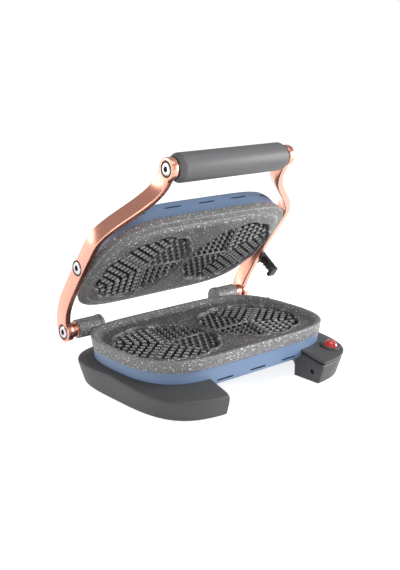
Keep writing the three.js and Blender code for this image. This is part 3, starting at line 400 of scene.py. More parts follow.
def raised(tree, shader, height, distance, strength):
    bump = add_node(tree, "Bump", Strength=strength, Distance=distance, Height=height)
    tree.links.new(bump.outputs["Normal"], shader.inputs["Normal"])


STONE_FLECKS = build_speck_group()
FINE_GRAIN = build_grain_group()


def stone_coating(name, on_lid=None, form=False):
    """A coating thrown with flecks. On a cooking side it gets painted shade that deepens down into the dish,
    and a waffle form there has painted shade in its grooves and painted highlights on its crests."""
    dark, light, fleck = tint(84, 84, 86), tint(150, 150, 151), tint(248, 248, 246)
    finish, tree, shader, place = finish_start(name, 0.5)
    flecks = grouped(tree, STONE_FLECKS, place, Density=350.0, Size=0.26, Amount=0.85)
    small = grouped(tree, STONE_FLECKS, place, Density=760.0, Size=0.26, Amount=0.5)
    ground = blended(tree, ranged(tree, flecks.outputs["Grain"], 0.38, 0.62), dark, light)
    if on_lid is not None:
        place_there = place_of(on_lid)
        outward = place_there.to_3x3() @ Vector((0, 0, -1 if on_lid else 1))
        rim, crowns = (
            (place_there @ Vector((0, 0, level * MM))).dot(outward)
            for level in ((LID_RIM_HEIGHT, UPPER_CROWNS) if on_lid else (RIM_HEIGHT, LOWER_CROWNS))
        )
        height = add_node(tree, "VectorMath")
        height.operation = "DOT_PRODUCT"
        height.inputs[1].default_value = outward
        tree.links.new(place, height.inputs[0])
        # Painted shade: the dish darkens from the rim's crest down to the crowns, more strongly on the lower
        # plate
        painted_dish_shade = ranged(tree, height.outputs["Value"], rim, crowns, 0, 0.36 if on_lid else 0.58)
        ground = blended(tree, painted_dish_shade, ground, tint(38, 38, 39))
    dusted = blended(tree, sum_node(tree, "MULTIPLY", small.outputs["Flecks"], 0.5), ground, fleck)
    coated = blended(tree, flecks.outputs["Flecks"], dusted, fleck)
    if form:
        # Painted highlight: the top of each crest is lightened
        painted_crest_highlight = ranged(tree, height.outputs["Value"], crowns - 0.9 * MM, crowns - 0.1 * MM, 0, 0.62)
        coated = blended(tree, painted_crest_highlight, coated, tint(205, 205, 204))
        # Painted shade: the grooves below the crests go nearly black
        painted_groove_shade = ranged(tree, height.outputs["Value"], crowns - 0.7 * MM, crowns - 2.7 * MM, 0, 0.94)
        coated = blended(tree, painted_groove_shade, coated, tint(10, 10, 11))
    rough = ranged(tree, flecks.outputs["Grain"], 0.3, 0.7, 0.4, 0.58)
    set_inputs(tree, shader, Base_Color=coated, Roughness=rough)
    raised(tree, shader, flecks.outputs["Grain"], 0.00012, 0.5)
    return finish


def grained_surface(tree, shader, place, colours, grain, roughness, depth, strength):
    """A clouded colour under a fine grain that changes the roughness and stands up a little."""
    grained = grouped(tree, FINE_GRAIN, place, Scale=grain)
    colour = blended(tree, grained.outputs["Cloud"], *colours)
    rough = ranged(tree, grained.outputs["Grain"], 0.3, 0.7, *roughness)
    set_inputs(tree, shader, Base_Color=colour, Roughness=rough)
    raised(tree, shader, grained.outputs["Grain"], depth, strength)


def moulded_plastic(name, dark, light, roughness, grain=1100.0, depth=0.00008):
    finish, tree, shader, place = finish_start(name, roughness)
    ends = (roughness - 0.06, roughness + 0.06)
    grained_surface(tree, shader, place, (dark, light), grain, ends, depth, 0.4)
    return finish


def satin_metal(name, dark, light, roughness, stretch=(1, 1, 1), depth=0.00003, coat=0.0):
    finish, tree, shader, place = finish_start(name, roughness, 1.0)
    drawn = add_node(tree, "Mapping", Scale=stretch, Vector=place).outputs["Vector"]
    ends = (roughness - 0.04, roughness + 0.05)
    grained_surface(tree, shader, drawn, (dark, light), 1600.0, ends, depth, 0.3)
    set_inputs(tree, shader, Coat_Weight=coat, Coat_Roughness=0.16)
    return finish


plate_coating = stone_coating("stone_coating")
# The dish and form coatings of the cooking sides carry painted shade and painted highlights
lower_shaded_coatings, upper_shaded_coatings = (
    [stone_coating(f"stone_coating_{plate}_{part}", on_lid, part == "form") for part in ("dish", "form")]
    for plate, on_lid in (("lower", False), ("upper", True))
)
blue_paint = moulded_plastic(
    "satin_blue_paint", tint(106, 130, 163), tint(116, 140, 173), 0.36, 2200.0, 0.00002
)
foot_plastic = moulded_plastic("grey_foot_plastic", tint(66, 66, 67), tint(73, 73, 74), 0.52)
black_plastic = moulded_plastic("black_plastic", tint(26, 26, 28), tint(36, 36, 38), 0.42)
soft_grip = moulded_plastic("soft_touch_grip", tint(89, 89, 91), tint(97, 97, 99), 0.5, 1500.0)
pad_rubber = moulded_plastic("pad_rubber", tint(30), tint(38), 0.85, 700.0, 0.0002)
ceramic = moulded_plastic("glazed_ceramic", tint(214, 208, 194), tint(228, 222, 210), 0.3, 500.0)
rose_metal = satin_metal(
    "rose_anodised", tint(224, 154, 131), tint(229, 160, 138), 0.26, (1, 0.3, 0.3), 0.000003, 0.7
)
steel = satin_metal("polished_steel", tint(196, 197, 200), tint(208, 209, 211), 0.24)
sheet_aluminium = satin_metal("bare_aluminium", tint(190, 191, 193), tint(206, 207, 208), 0.4, (1, 12, 1))
element_steel = satin_metal("oxidised_tube", tint(52, 50, 50), tint(74, 70, 68), 0.5)


def lens_red():
    finish, tree, shader, place = finish_start("red_lamp_lens", 0.22)
    grained = grouped(tree, FINE_GRAIN, place, Scale=600.0, Cloud_Scale=160.0)
    clouded = ranged(tree, grained.outputs["Cloud"], 0.3, 0.7)
    colour = blended(tree, clouded, tint(150, 16, 22), tint(206, 44, 48))
    set_inputs(tree, shader, Base_Color=colour, Emission_Color=colour, Emission_Strength=0.12)
    set_inputs(tree, shader, Coat_Weight=0.6, Coat_Roughness=0.05)
    return finish


lamp_red = lens_red()

# Inner pieces that stay as the solids have them
for finish, nodes in (
    (element_steel, ("lower_heating_element", "upper_heating_element")),
    (sheet_aluminium, ("lower_reflector", "upper_reflector", "thermal_fuse")),
    (ceramic, ("lower_thermostat", "upper_thermostat", "terminal_block")),
    (black_plastic, ("lamp_holder",)),
):
    for node in nodes:
        for slot in bpy.data.objects[node].material_slots:
            slot.material = finish


# Ovals that the plates, shells and feet follow


def oval_place(width, depth, turn, inset, height, shares=OVAL_SHARES):
    c, s = cos(turn), sin(turn)
    x = (width - inset) * copysign(abs(c) ** (2 / shares[0]), c)
    y = (depth - inset) * copysign(abs(s) ** (2 / shares[1]), s)
    return (x, y, height)


def even_turns(count, start=0.0, sweep=2 * pi):
    """Turns that put places at even distances round the oval."""
    fine = 6000
    turns = [start + sweep * i / fine for i in range(fine + 1)]
    walked = [0.0]
    before = Vector(oval_place(RIM_WIDTH, RIM_DEPTH, turns[0], 0, 0))
    for turn in turns[1:]:
        here = Vector(oval_place(RIM_WIDTH, RIM_DEPTH, turn, 0, 0))
        walked.append(walked[-1] + (here - before).length)
        before = here
    made, k = [], 0
    for i in range(count):
        goal = walked[-1] * i / count
        while walked[k + 1] < goal:
            k += 1
        made.append(turns[k])
    return made


OVAL_TURNS = even_turns(176)


def oval_rings(width, depth, profile):
    return [
        [oval_place(width, depth, turn, inset, height) for turn in OVAL_TURNS] for inset, height in profile
    ]


# Waffle forms: a beaded tray of five hearts with ribs, pyramids and bars


def star_turn(angle):
    return radians(STAR_ANGLE + angle)


def lobed_ring(offset, height):
    ring = []
    total = LOBE_COUNT * LOBE_STEPS
    for i in range(total):
        share = (i % LOBE_STEPS) / LOBE_STEPS
        bulge = sin(pi * share) ** 0.7
        radius = STAR_RADIUS + LOBE_RISE * bulge + offset
        turn = star_turn(0) + i * 2 * pi / total
        ring.append((radius * cos(turn), radius * sin(turn), height))
    return ring


def lattice_copies(piece, first, second, reach):
    """A field of copies of one tooth, laid out along two directions."""
    pick_up(piece)
    for step in (first, second):
        change = piece.modifiers.new("row", "ARRAY")
        change.count = 2 * reach
        change.use_relative_offset = False
        change.use_constant_offset = True
        change.constant_offset_displace = Vector((*step, 0)) * MM
        bpy.ops.object.modifier_apply(modifier=change.name)
    back = -(Vector((*first, 0)) + Vector((*second, 0))) * (reach - 0.5) * MM
    piece.data.transform(Matrix.Translation(back))


def trim_to_heart(piece, heart):
    """Cuts a field of teeth to the space between two ribs and the bead."""
    centre = star_turn(HEART_SECTOR / 2 + heart * HEART_SECTOR)
    sector = radians(HEART_SECTOR / 2)
    cuts = []
    for side, border in ((-1, heart), (1, heart + 1)):
        edge = centre + side * sector
        normal = Vector((-sin(edge), cos(edge), 0)) * side
        cuts.append((-normal * (1.3 if border % 5 in RIBBED_BORDERS else 0.05), normal))
    for k in range(-3, 4):
        turn = centre + k * sector / 3.5
        normal = Vector((cos(turn), sin(turn), 0))
        cuts.append((normal * RIDGE_REACH, normal))
    open_up(piece)
    for place, normal in cuts:
        cut_away(place, normal, 0.00001)
    bpy.ops.object.mode_set(mode="OBJECT")


def tooth(name, foot, shoulder, crown, shoulder_depth, lean=None):
    """One tooth: a block that stands on the floor and is drawn in from its shoulder to its crown."""
    along, across = lean or (Vector((1, 0)), Vector((0, 1)))
    rings = []
    for (u, v), height in ((foot, -RIDGE_HEIGHT - 0.4), (shoulder, -shoulder_depth), (crown, 0)):
        corners = [along * u * a + across * v * b for a, b in ((1, 1), (-1, 1), (-1, -1), (1, -1))]
        rings.append([(corner.x, corner.y, height) for corner in corners])
    return draw_up(name, rings)


def heart_field(heart, angle, other=None):
    """The teeth of one heart: pyramids where its rows run at two angles, short bars where they run at one."""
    turn = star_turn(angle)
    along = Vector((cos(turn), sin(turn)))
    across = Vector((-along.y, along.x))
    half = RIDGE_PITCH / 2
    if other is not None:
        side = RIDGE_PITCH / sin(radians(HEART_SECTOR)) / 2
        second = Vector((cos(star_turn(other)), sin(star_turn(other))))
        piece = tooth("pyramid", (side - 0.25,) * 2, (side - 0.45,) * 2, (0.42,) * 2, 4.6, (along, second))
        soften(piece, 0.22, 1, 20)
        lattice_copies(piece, along * side * 2, second * side * 2, 7)
    else:
        length = TOOTH_PITCH / 2 - 0.03
        piece = tooth("bar_tooth", (length, half - 0.9), (length, half - 1.6), (0.7, half - 2.0), 4.2)
        soften(piece, 0.2, 1, 20)
        piece.data.transform(Matrix.Rotation(turn, 4, "Z"))
        lattice_copies(piece, along * TOOTH_PITCH, across * RIDGE_PITCH, 9)
    trim_to_heart(piece, heart)
    return piece


def waffle_form(name, bead):
    bead_and_wall = [
        (3.2, -RIDGE_HEIGHT - 1.2), (3.2, -1.2), (2.6, -0.15), (2.0, 0.1 * bead), (1.5, 0.55 * bead),
        (0.9, 0.9 * bead), (0.2, bead), (-0.4, 0.92 * bead), (-0.9, 0.6 * bead), (-1.25, 0.1), (-1.5, -1.0),
        (-2.1, -RIDGE_HEIGHT + 0.7), (-2.9, -RIDGE_HEIGHT),
    ]
    form = draw_up(name, [lobed_ring(offset, height) for offset, height in bead_and_wall])
    row_angles = [(0, 72), (72,), (36,), (36,), (0, 288)]
    fields = [heart_field(heart, *angles) for heart, angles in enumerate(row_angles)]
    ribs = []
    for border in RIBBED_BORDERS:
        turned_to = Matrix.Rotation(star_turn(border * HEART_SECTOR), 4, "Z")
        rib = tooth("rib", (30, 1.9), (29.8, 1.5), (29.4, 0.9), 3)
        soften(rib, 0.5, 2, 20)
        rib.data.transform(turned_to @ Matrix.Translation((29.2 * MM, 0, -0.7 * MM)))
        ribs.append(rib)
    return weld(form, *fields, *ribs)


# Plates: cast dishes with two waffle forms each


def dish_wall(land):
    """From the rim's crest down, or up, to the land round the waffles."""
    start = 4.0 if land < 0 else 7.5
    made = []
    for i in range(1, 13):
        share = i / 12
        across = share**1.15 if land < 0 else share
        fall = smooth_step(share * 1.35) if land < 0 else 1 - (1 - share) ** 2
        made.append((start + (LAND_INSET - start) * across, land * fall))
    return made


def cast_plate(name, width, depth, land, skirt, bead):
    floor = land - RIDGE_HEIGHT - 3.5
    under = max(floor, -5.5)
    profile = [
        (10.0, floor), (7.6, under), (5.0, under), (5.0, -skirt + 0.3), (4.6, -skirt), (2.4, -skirt),
        (1.95, -skirt + 0.2), (1.75, -skirt + 0.8), (0.38, -1.7), (0.42, -1.05), (0.65, -0.5), (1.05, -0.15),
        (1.6, 0.0), (3.0, 0.0), *dish_wall(land),
    ]
    plate = draw_up(name, oval_rings(width, depth, profile))
    form = waffle_form(name + "_form", bead)
    lift(form, land)
    placed = []
    for turn, side in ((0.0, -1), (pi, 1)):
        place = Matrix.Translation((side * STAR_OFFSET * MM, 0, 0)) @ Matrix.Rotation(turn, 4, "Z")
        tool = draw_up("pocket", [lobed_ring(-1.1, land - 6.6), lobed_ring(-1.1, land + 12)])
        tool.data.transform(place)
        carve(plate, tool)
        copy = twin(form, "waffle")
        copy.data.transform(place)
        placed.append(copy)
    bpy.data.objects.remove(form, do_unlink=True)
    smooth(plate, 40)
    for copy in placed:
        smooth(copy, 28)
    return weld(plate, *placed)


def rim_depth_at(x, inset):
    share = (abs(x) / (RIM_WIDTH - inset)) ** OVAL_SHARES[0]
    return (RIM_DEPTH - inset) * (1 - share) ** (1 / OVAL_SHARES[1])


def hinge_barrel(name):
    """The right barrel with its knuckle, bore and the neck that carries it."""
    centre = (0, HINGE_BACK, HINGE_HEIGHT)
    start, end, neck_end, bore_end = BARREL_START, BARREL_END, BARREL_START + 21, BARREL_START + 13
    barrel = turned(name, centre, [
        (0.01, start), (10.2, start), (11.3, start + 0.3), (11.9, start + 1), (12.1, start + 2),
        (12.1, start + 5.2), (11.9, start + 5.8), (11.4, start + 6.2), (11.4, end - 1), (11.1, end - 0.3),
        (10.4, end), (4.0, end), (3.5, end - 0.6), (3.5, bore_end), (0.01, bore_end),
    ], steps=64)
    along = [start + (neck_end - start) * i / 8 for i in range(9)]
    outline = [(x, rim_depth_at(x, 2.5)) for x in along] + [(neck_end, HINGE_BACK), (start, HINGE_BACK)]
    neck = draw_up("neck", [[(x, y, z) for x, y in outline] for z in (RIM_HEIGHT - 9, RIM_HEIGHT - 2)])
    soften(neck, 1.2, 3)
    smooth(neck)
    return weld(barrel, neck)


def latch_peg():
    """The peg that the latch's toe turns under, found by swinging the latch's screw down with the arms."""
    low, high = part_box("latch_screw")
    axis_y, axis_z = (low[1] + high[1]) / 2 - PLATE_MIDDLE.y, (low[2] + high[2]) / 2
    hinge = Vector((0, HINGE_BACK, HINGE_HEIGHT))
    arm = Vector((0, axis_y - HINGE_BACK * MM, axis_z - HINGE_HEIGHT * MM)) / MM
    closed_arm, open_arm = LID_PIVOT_CLOSED - hinge, LID_PIVOT - hinge
    swing = atan2(closed_arm.z, closed_arm.y) - atan2(open_arm.z, open_arm.y)
    shut = Matrix.Rotation(swing, 3, "X") @ arm + hinge
    reach = Matrix.Rotation(LATCH_TURN, 3, "X") @ Vector((0, 0, LATCH_PLAY + PEG_RADIUS - LATCH_REACH))
    return turned("peg", (0, shut.y + reach.y, shut.z + reach.z), [
        (0.01, 132), (3.9, 132), (3.9, 138.4), (3.4, 139.6), (PEG_RADIUS, 141), (PEG_RADIUS, 157.2),
        (2.7, 157.8), (2.0, 158), (0.01, 158),
    ], steps=32)


def coat_dish(plate, finishes, on_lid):
    """Gives the cooking side, inside the rim's crest, its own coatings with painted shade and highlights: the
    dish's and the forms'.
    """
    for finish in finishes:
        plate.data.materials.append(finish)
    back = place_of(on_lid).inverted()
    for face in plate.data.polygons:
        x, y, z = back @ face.center / MM
        depth = z - UPPER_CROWNS if on_lid else LOWER_CROWNS - z
        width, deep = (LID_WIDTH, LID_DEPTH) if on_lid else (RIM_WIDTH, RIM_DEPTH)
        across = (abs(x) / (width - 2.6)) ** OVAL_SHARES[0] + (abs(y) / (deep - 2.6)) ** OVAL_SHARES[1]
        reach = hypot(abs(x) - STAR_OFFSET, y)
        in_tray, in_form = reach < STAR_RADIUS + LOBE_RISE - 0.2, reach < RIDGE_REACH + 0.1
        deepest = 7.5 if in_tray else 5.6 if on_lid else 0.4
        if across < 1 and depth < deepest:
            face.material_index = 2 if in_form and depth > -0.5 else 1


lower_plate = cast_plate("lower_casting", RIM_WIDTH, RIM_DEPTH, LOWER_LAND, LOWER_SKIRT, 1.7)
lift(lower_plate, RIM_HEIGHT)
right_barrel = hinge_barrel("hinge_barrel_right")
left_barrel = mirrored(right_barrel, "hinge_barrel_left")
smooth(left_barrel)
weld(lower_plate, right_barrel, left_barrel, latch_peg())
settle(lower_plate, plate_coating, "base", "lower_plate")
coat_dish(lower_plate, lower_shaded_coatings, False)


upper_plate = flip(cast_plate("upper_casting", LID_WIDTH, LID_DEPTH, UPPER_LAND, UPPER_SKIRT, 0.7), (0, 0, 1))
lift(upper_plate, LID_RIM_HEIGHT)
right_boss = turned("pivot_boss", (0, *LID_PIVOT_CLOSED.yz), [
    (0.01, 127.6), (8, 127.6), (8, 138.8), (7.7, 139.4), (7.2, 139.6), (3.9, 139.6), (3.3, 139.0),
    (3.3, 133), (0.01, 133),
])
left_boss = mirrored(right_boss, "pivot_boss_left")
weld(upper_plate, right_boss, left_boss)
smooth(upper_plate, 30)
settle(upper_plate, plate_coating, "lid", "upper_plate", on_lid=True)
coat_dish(upper_plate, upper_shaded_coatings, True)


# Pressed shells with vents


LOWER_CURVE = [[0, 0], [0.74, 0.015], [0.94, 0.16], [1, 1]]
UPPER_CURVE = [[0, 0], [0.6, 0.06], [0.86, 0.38], [1, 1]]


def shell_line(skirt, bottom, curve=LOWER_CURVE):
    """Outer places of a shell from its flat bottom up to the skirt: inset, height and the shares of both."""
    top, inward = -skirt - 0.3, SHELL_INSET - SHELL_FLAT_INSET
    return [
        (SHELL_FLAT_INSET + inward * across, bottom + (top - bottom) * up, across, up)
        for across, up in flowing(curve, 6)
    ]


def slot_ring(middle, y, height):
    ring = []
    half = VENT_WIDTH / 2
    for side in (1, -1):
        for i in range(9):
            turn = pi * i / 8 - pi / 2
            x = side * (VENT_LENGTH / 2 - half + half * cos(turn))
            ring.append((middle + x, y, height + side * half * sin(turn)))
    return ring


def pressed_shell(name, width, depth, skirt, bottom, curve, vent_height, vents):
    line = shell_line(skirt, bottom, curve)
    outer = [(inset, height) for inset, height, _, _ in line]
    inner = [(inset + SHEET * across, height + SHEET * (1 - up)) for inset, height, across, up in line]
    lip = [(4.6, -0.25), (5.2, 0.1), (5.3, 0.6), (5.3, 4.3), (5.5, 4.5), (6.4, 4.5), (6.5, 4.3)]
    profile = [*outer, *((inset, -skirt + up) for inset, up in lip), *reversed(inner[:-1])]
    shell = draw_up(name, oval_rings(width, depth, profile))
    for middle in vents:
        for side in (-1, 1):
            ends = (side * (depth + 5), side * (depth - 16))
            carve(shell, draw_up("vent", [slot_ring(middle, y, vent_height) for y in ends]))
    return shell


lower_shell = pressed_shell(
    "lower_shell", RIM_WIDTH, RIM_DEPTH, LOWER_SKIRT, LOWER_SHELL_BOTTOM - RIM_HEIGHT, LOWER_CURVE,
    30.0 - RIM_HEIGHT, (-50, 0, 50),
)
lift(lower_shell, RIM_HEIGHT)
smooth(lower_shell, 35)
settle(lower_shell, blue_paint, "base", "lower_housing")

upper_shell = pressed_shell(
    "upper_shell", LID_WIDTH, LID_DEPTH, UPPER_SKIRT, -UPPER_SHELL_RISE, UPPER_CURVE,
    -23.0, (-100, -50, 0, 50, 100),
)
for side in (-1, 1):
    notch = [(0.01, side * 127), (8.3, side * 127), (8.3, side * 150), (0.01, side * 150)]
    carve(upper_shell, turn_along("notch", (0, LID_PIVOT_CLOSED.y, -11), notch))
flip(upper_shell, (0, 0, 1))
lift(upper_shell, LID_RIM_HEIGHT)
smooth(upper_shell, 35)
settle(upper_shell, blue_paint, "lid", "upper_housing", on_lid=True)


# Feet: mouldings that wrap round both ends of the lower shell

LEFT_FOOT = dict(end_reach=0.5, front_reach=23, draft=7.2, top=34.2, fall=0.283, end_inset=FOOT_INSET)
RIGHT_FOOT = dict(end_reach=1.5, front_reach=26, draft=7.4, top=35.7, fall=0.19, end_inset=13)
FOOT_TURNS = even_turns(84, pi - radians(82), radians(164))
LOWER_SHELL_LINE = [
    (inset, z + RIM_HEIGHT, across, up)
    for inset, z, across, up in shell_line(LOWER_SKIRT, LOWER_SHELL_BOTTOM - RIM_HEIGHT)
]


def shell_inset_at(height):
    for (inset, z, _, _), (next_inset, next_z, _, _) in zip(LOWER_SHELL_LINE, LOWER_SHELL_LINE[1:]):
        if z <= height <= next_z:
            return inset + (next_inset - inset) * (height - z) / (next_z - z)
    return LOWER_SHELL_LINE[-1][0]


class FootShape:
    """Where a foot's walls stand at one turn round the shell."""

    def __init__(self, turn, drop, end_reach, front_reach, draft, top, fall, end_inset):
        self.turn, self.draft = turn, draft
        past_end = (abs(turn - pi) - radians(44)) / radians(30)
        near_end = smooth_step(past_end) if turn > pi else 0
        self.inset = FOOT_INSET + (end_inset - FOOT_INSET) * near_end
        self.depth = RIM_DEPTH + (front_reach if sin(turn) < 0 else FOOT_BACK_REACH)
        self.width = RIM_WIDTH + end_reach
        inner = self.at(shell_inset_at(top) - 0.3, top)
        edge = self.outer(draft, 0)
        self.full_crease = top - fall * hypot(edge[0] - inner[0], edge[1] - inner[1])
        self.crease = self.full_crease - drop
        self.inner_top = top - drop
        self.bed = [
            (min(inset - 0.3 * across, self.inset), z - 0.3 * (1 - up))
            for inset, z, across, up in LOWER_SHELL_LINE
            if z < self.inner_top - 0.6
        ][::3]

    def at(self, inset, height):
        return oval_place(RIM_WIDTH, RIM_DEPTH, self.turn, inset, height)

    def outer(self, grow, height):
        return oval_place(self.width, self.depth, self.turn, -grow, height, FOOT_SHARES)

    def wall(self, height, inset):
        return self.outer(self.draft * height / self.full_crease - inset, height)


def eased(before, corner, after, radius, steps=4):
    """A corner of a section drawn round."""
    b, c, a = Vector(before), Vector(corner), Vector(after)
    start = c + (b - c).normalized() * min(radius, (b - c).length * 0.45)
    end = c + (a - c).normalized() * min(radius, (a - c).length * 0.45)
    made = []
    for i in range(steps + 1):
        t = i / steps
        made.append(tuple(start * (1 - t) ** 2 + c * 2 * t * (1 - t) + end * t * t))
    return made


def foot_rings(foot, drop, section):
    return [section(FootShape(turn, drop, **foot)) for turn in FOOT_TURNS]


def foot_body(shape):
    top = shape.at(shell_inset_at(shape.inner_top) - 0.1, shape.inner_top)
    crease, ground = shape.wall(shape.crease, 0), shape.wall(0.8, 0)
    inside = shape.at(shape.inset, 0.8)
    bed = [shape.at(inset, height) for inset, height in [(shape.inset, shape.bed[0][1]), *shape.bed[1:]]]
    return [top, *eased(top, crease, ground, 4.2, 5), *eased(crease, ground, inside, 2.2), inside, *bed]


def foot_hollow(shape):
    wall, last, second = MOULDING_WALL, shape.bed[-1], shape.bed[1]
    return [
        shape.wall(-5, wall), shape.wall(shape.crease - wall, wall),
        shape.at(last[0] - wall, min(last[1], shape.inner_top - 4)),
        shape.at(second[0] - wall / 2, second[1] - wall),
        shape.at(shape.inset - wall, shape.bed[0][1] - wall), shape.at(shape.inset - wall, -5),
    ]


def square_off(piece, reach):
    """Ends a left foot's piece at the wall that crosses under the shell."""
    open_up(piece)
    cut_away(Vector((-reach, 0, 0)), (1, 0, 0))
    face_outward()


def moulded_foot(name, foot, drop):
    body = draw_up(name, foot_rings(foot, drop, foot_body))
    square_off(body, FOOT_END)
    hollow = draw_up("hollow", foot_rings(foot, drop, foot_hollow))
    square_off(hollow, FOOT_END + MOULDING_WALL)
    carve(body, hollow)
    soften(body, 0.5, 2, 50)
    return body


def join_posts(body, foot, drop):
    """Smooths a foot and joins the posts to it that its pads sit in."""
    smooth(body, 30)
    top = foot["top"] - drop - 5.6
    weld(body, *(
        turned("post", (-POST_OUT, y, 0), [
            (0.01, top), (7, top), (7, 1.2), (6.7, 0.8), (5.5, 0.8), (5.5, 2.3), (0.01, 2.3),
        ], "Z", 40)
        for y in POST_PLACES.values()
    ))


left_foot = moulded_foot("left_foot_moulding", LEFT_FOOT, 0)
join_posts(left_foot, LEFT_FOOT, 0)
settle(left_foot, foot_plastic, "base", "left_foot")

for side, sign in (("left", -1), ("right", 1)):
    for end, y in POST_PLACES.items():
        pad = turned(f"pad_{end}_{side}", (sign * POST_OUT, y, 0), [
            (0.01, 0.15), (3.4, 0.15), (3.6, 0.02), (4.6, 0.02), (5.0, 0.2), (5.2, 0.6), (5.2, 2.0),
            (0.01, 2.0),
        ], "Z", 40)
        settle(pad, pad_rubber, "base", f"rubber_pad_{end}_{side}")


def lamp_matrix():
    """Where the lamp sits on the foot's top, and how it leans with it."""
    shape = FootShape(pi + LAMP_TURN, 0, **RIGHT_FOOT)
    inner = Vector(shape.at(shell_inset_at(shape.inner_top) - 0.3, shape.inner_top))
    outer = Vector(shape.wall(shape.crease, 0))
    down = (outer - inner).normalized()
    level = Vector((-down.y, down.x, 0)).normalized()
    normal = down.cross(level)
    lean = Matrix((down, level, normal)).transposed().to_4x4()
    return Matrix.Translation((inner * 0.5 + outer * 0.5) * MM) @ lean


LAMP = lamp_matrix()


def lens_ring(radius, height, steps=24):
    """A ring drawn in a little at three places."""
    ring = []
    for i in range(steps):
        turn = i * 2 * pi / steps
        waist = 1 - 0.14 * (0.5 - cos(3 * turn) / 2)
        ring.append((radius * waist * cos(turn), radius * waist * sin(turn), height))
    return ring


def cover_section(shape):
    top = shape.at(shell_inset_at(shape.inner_top) - 0.1, shape.inner_top)
    crease, below = shape.wall(shape.crease, 0), shape.wall(shape.crease - MOULDING_WALL, 0)
    low = shape.inner_top - MOULDING_WALL
    under = shape.at(shell_inset_at(low) - 0.3, low)
    return [top, *eased(top, crease, below, 2.2), below, under]


def right_cover():
    cover = draw_up("right_cover", foot_rings(RIGHT_FOOT, 0, cover_section))
    square_off(cover, FOOT_END)
    soften(cover, 0.45, 2, 50)
    groove = turn_along("groove", (0, 0, 0), [
        (11.0, -1.8), (13.4, -1.8), (13.4, 4), (11.0, 4), (11.0, -1.8),
    ], "Z", 64, False)
    seat = draw_up("lens_seat", [lens_ring(9.7, -12, 54), lens_ring(9.7, 6, 54)])
    bezel = turn_along("bezel", (0, 0, 0), [
        (0.01, -2), (12.4, -2), (12.4, 1.0), (12.2, 1.7), (11.8, 2.1), (11.2, 2.3), (10.6, 2.2), (9.9, 1.8),
        (0.01, 1.7),
    ], "Z", 64)
    for part in (groove, seat, bezel):
        part.data.transform(LAMP)
    second_seat = twin(seat, "lens_seat_bezel")
    carve(cover, groove)
    carve(cover, seat)
    carve(bezel, second_seat)
    smooth(cover, 30)
    smooth(bezel, 30)
    return weld(cover, bezel)


cover = flip(right_cover())
smooth(cover, 30)
settle(cover, foot_plastic, "base", "right_foot_cover")

dome = [(9.2, -3), (9.2, 1.9), (8.7, 3.8), (6.9, 6.0), (3.9, 7.4), (1.1, 7.8)]
lens = draw_up("red_lens", [lens_ring(radius, height) for radius, height in dome])
lens.data.transform(LAMP)
settle(flip(lens), lamp_red, "base", "lamp_lens")


def in_painted_hole_shade(x, y, z):
    return 71.9 < x < 73.8 and hypot(y - END_HOLE_Y, z - END_HOLE_HEIGHT) < 3.1


right_foot = moulded_foot("right_foot_moulding", RIGHT_FOOT, COVER_DROP)
end_hole = [(0.01, -73.6), (3.0, -73.6), (3.0, -60), (0.01, -60)]
carve(right_foot, turn_along("end_hole", (0, END_HOLE_Y, END_HOLE_HEIGHT), end_hole))
gland_hole = [(0.01, -12), (6.7, -12), (6.7, 6), (0.01, 6)]
carve(right_foot, turn_along("gland_hole", (-GLAND_OUT, GLAND_WALL, GLAND_HEIGHT), gland_hole, "Y"))
join_posts(right_foot, RIGHT_FOOT, COVER_DROP)
flip(right_foot)
smooth(right_foot, 30)
settle(right_foot, foot_plastic, "base", "right_foot")
# The end hole's walls get black as painted shade
paint_shade(right_foot, black_plastic, in_painted_hole_shade)

gland = turned("cord_bush", (GLAND_OUT, GLAND_WALL, GLAND_HEIGHT), [
    (3.6, -6), (6.5, -6), (6.5, 0.3), (8.6, 0.3), (9, 0.6), (9, 2.6), (8.7, 3.0), (6.9, 3.4), (6.5, 6),
    (3.9, 6), (3.6, 5.6), (3.6, -6),
], "Y", 48, False)
settle(gland, black_plastic, "base", "cord_gland")


# Arms: curved straps with sunk screws


STRAP_POINTS = [(HINGE_BACK, HINGE_HEIGHT), (113.05, 81.1), (17.6, 178.6), (-HANDLE_FORWARD, HANDLE_HEIGHT)]
STRAP_STEPS = 2000


def strap_place(t):
    """The strap's middle from the hinge at 0 to the handle at 1, seen from the side."""
    weights = [(1 - t) ** 3, 3 * t * (1 - t) ** 2, 3 * t * t * (1 - t), t**3]
    return Vector(sum(w * p[k] for w, p in zip(weights, STRAP_POINTS)) for k in (0, 1))


STRAP_PLACES = [strap_place(i / STRAP_STEPS) for i in range(STRAP_STEPS + 1)]
STRAP_WALK = [0.0]
for here, ahead in zip(STRAP_PLACES, STRAP_PLACES[1:]):
    STRAP_WALK.append(STRAP_WALK[-1] + (ahead - here).length)


def strap_share_at(walked):
    walked = min(max(walked, 0.0), STRAP_WALK[-1])
    return next(i for i, total in enumerate(STRAP_WALK) if total >= walked) / STRAP_STEPS


def strap_out(t):
    """How far out the strap's outer face runs, bowed past the hinge and bent in to the handle."""
    bow = smooth_step(t / 0.35)
    bend = smoother_step((t - 0.65) / 0.32)
    return ARM_HINGE_X + (ARM_MIDDLE_X - ARM_HINGE_X) * bow - (ARM_MIDDLE_X - ARM_HANDLE_X) * bend


def strap_width(t):
    start, middle, end = STRAP_WIDTHS
    return start * (1 - t) * (1 - 2 * t) + middle * 4 * t * (1 - t) + end * t * (2 * t - 1)


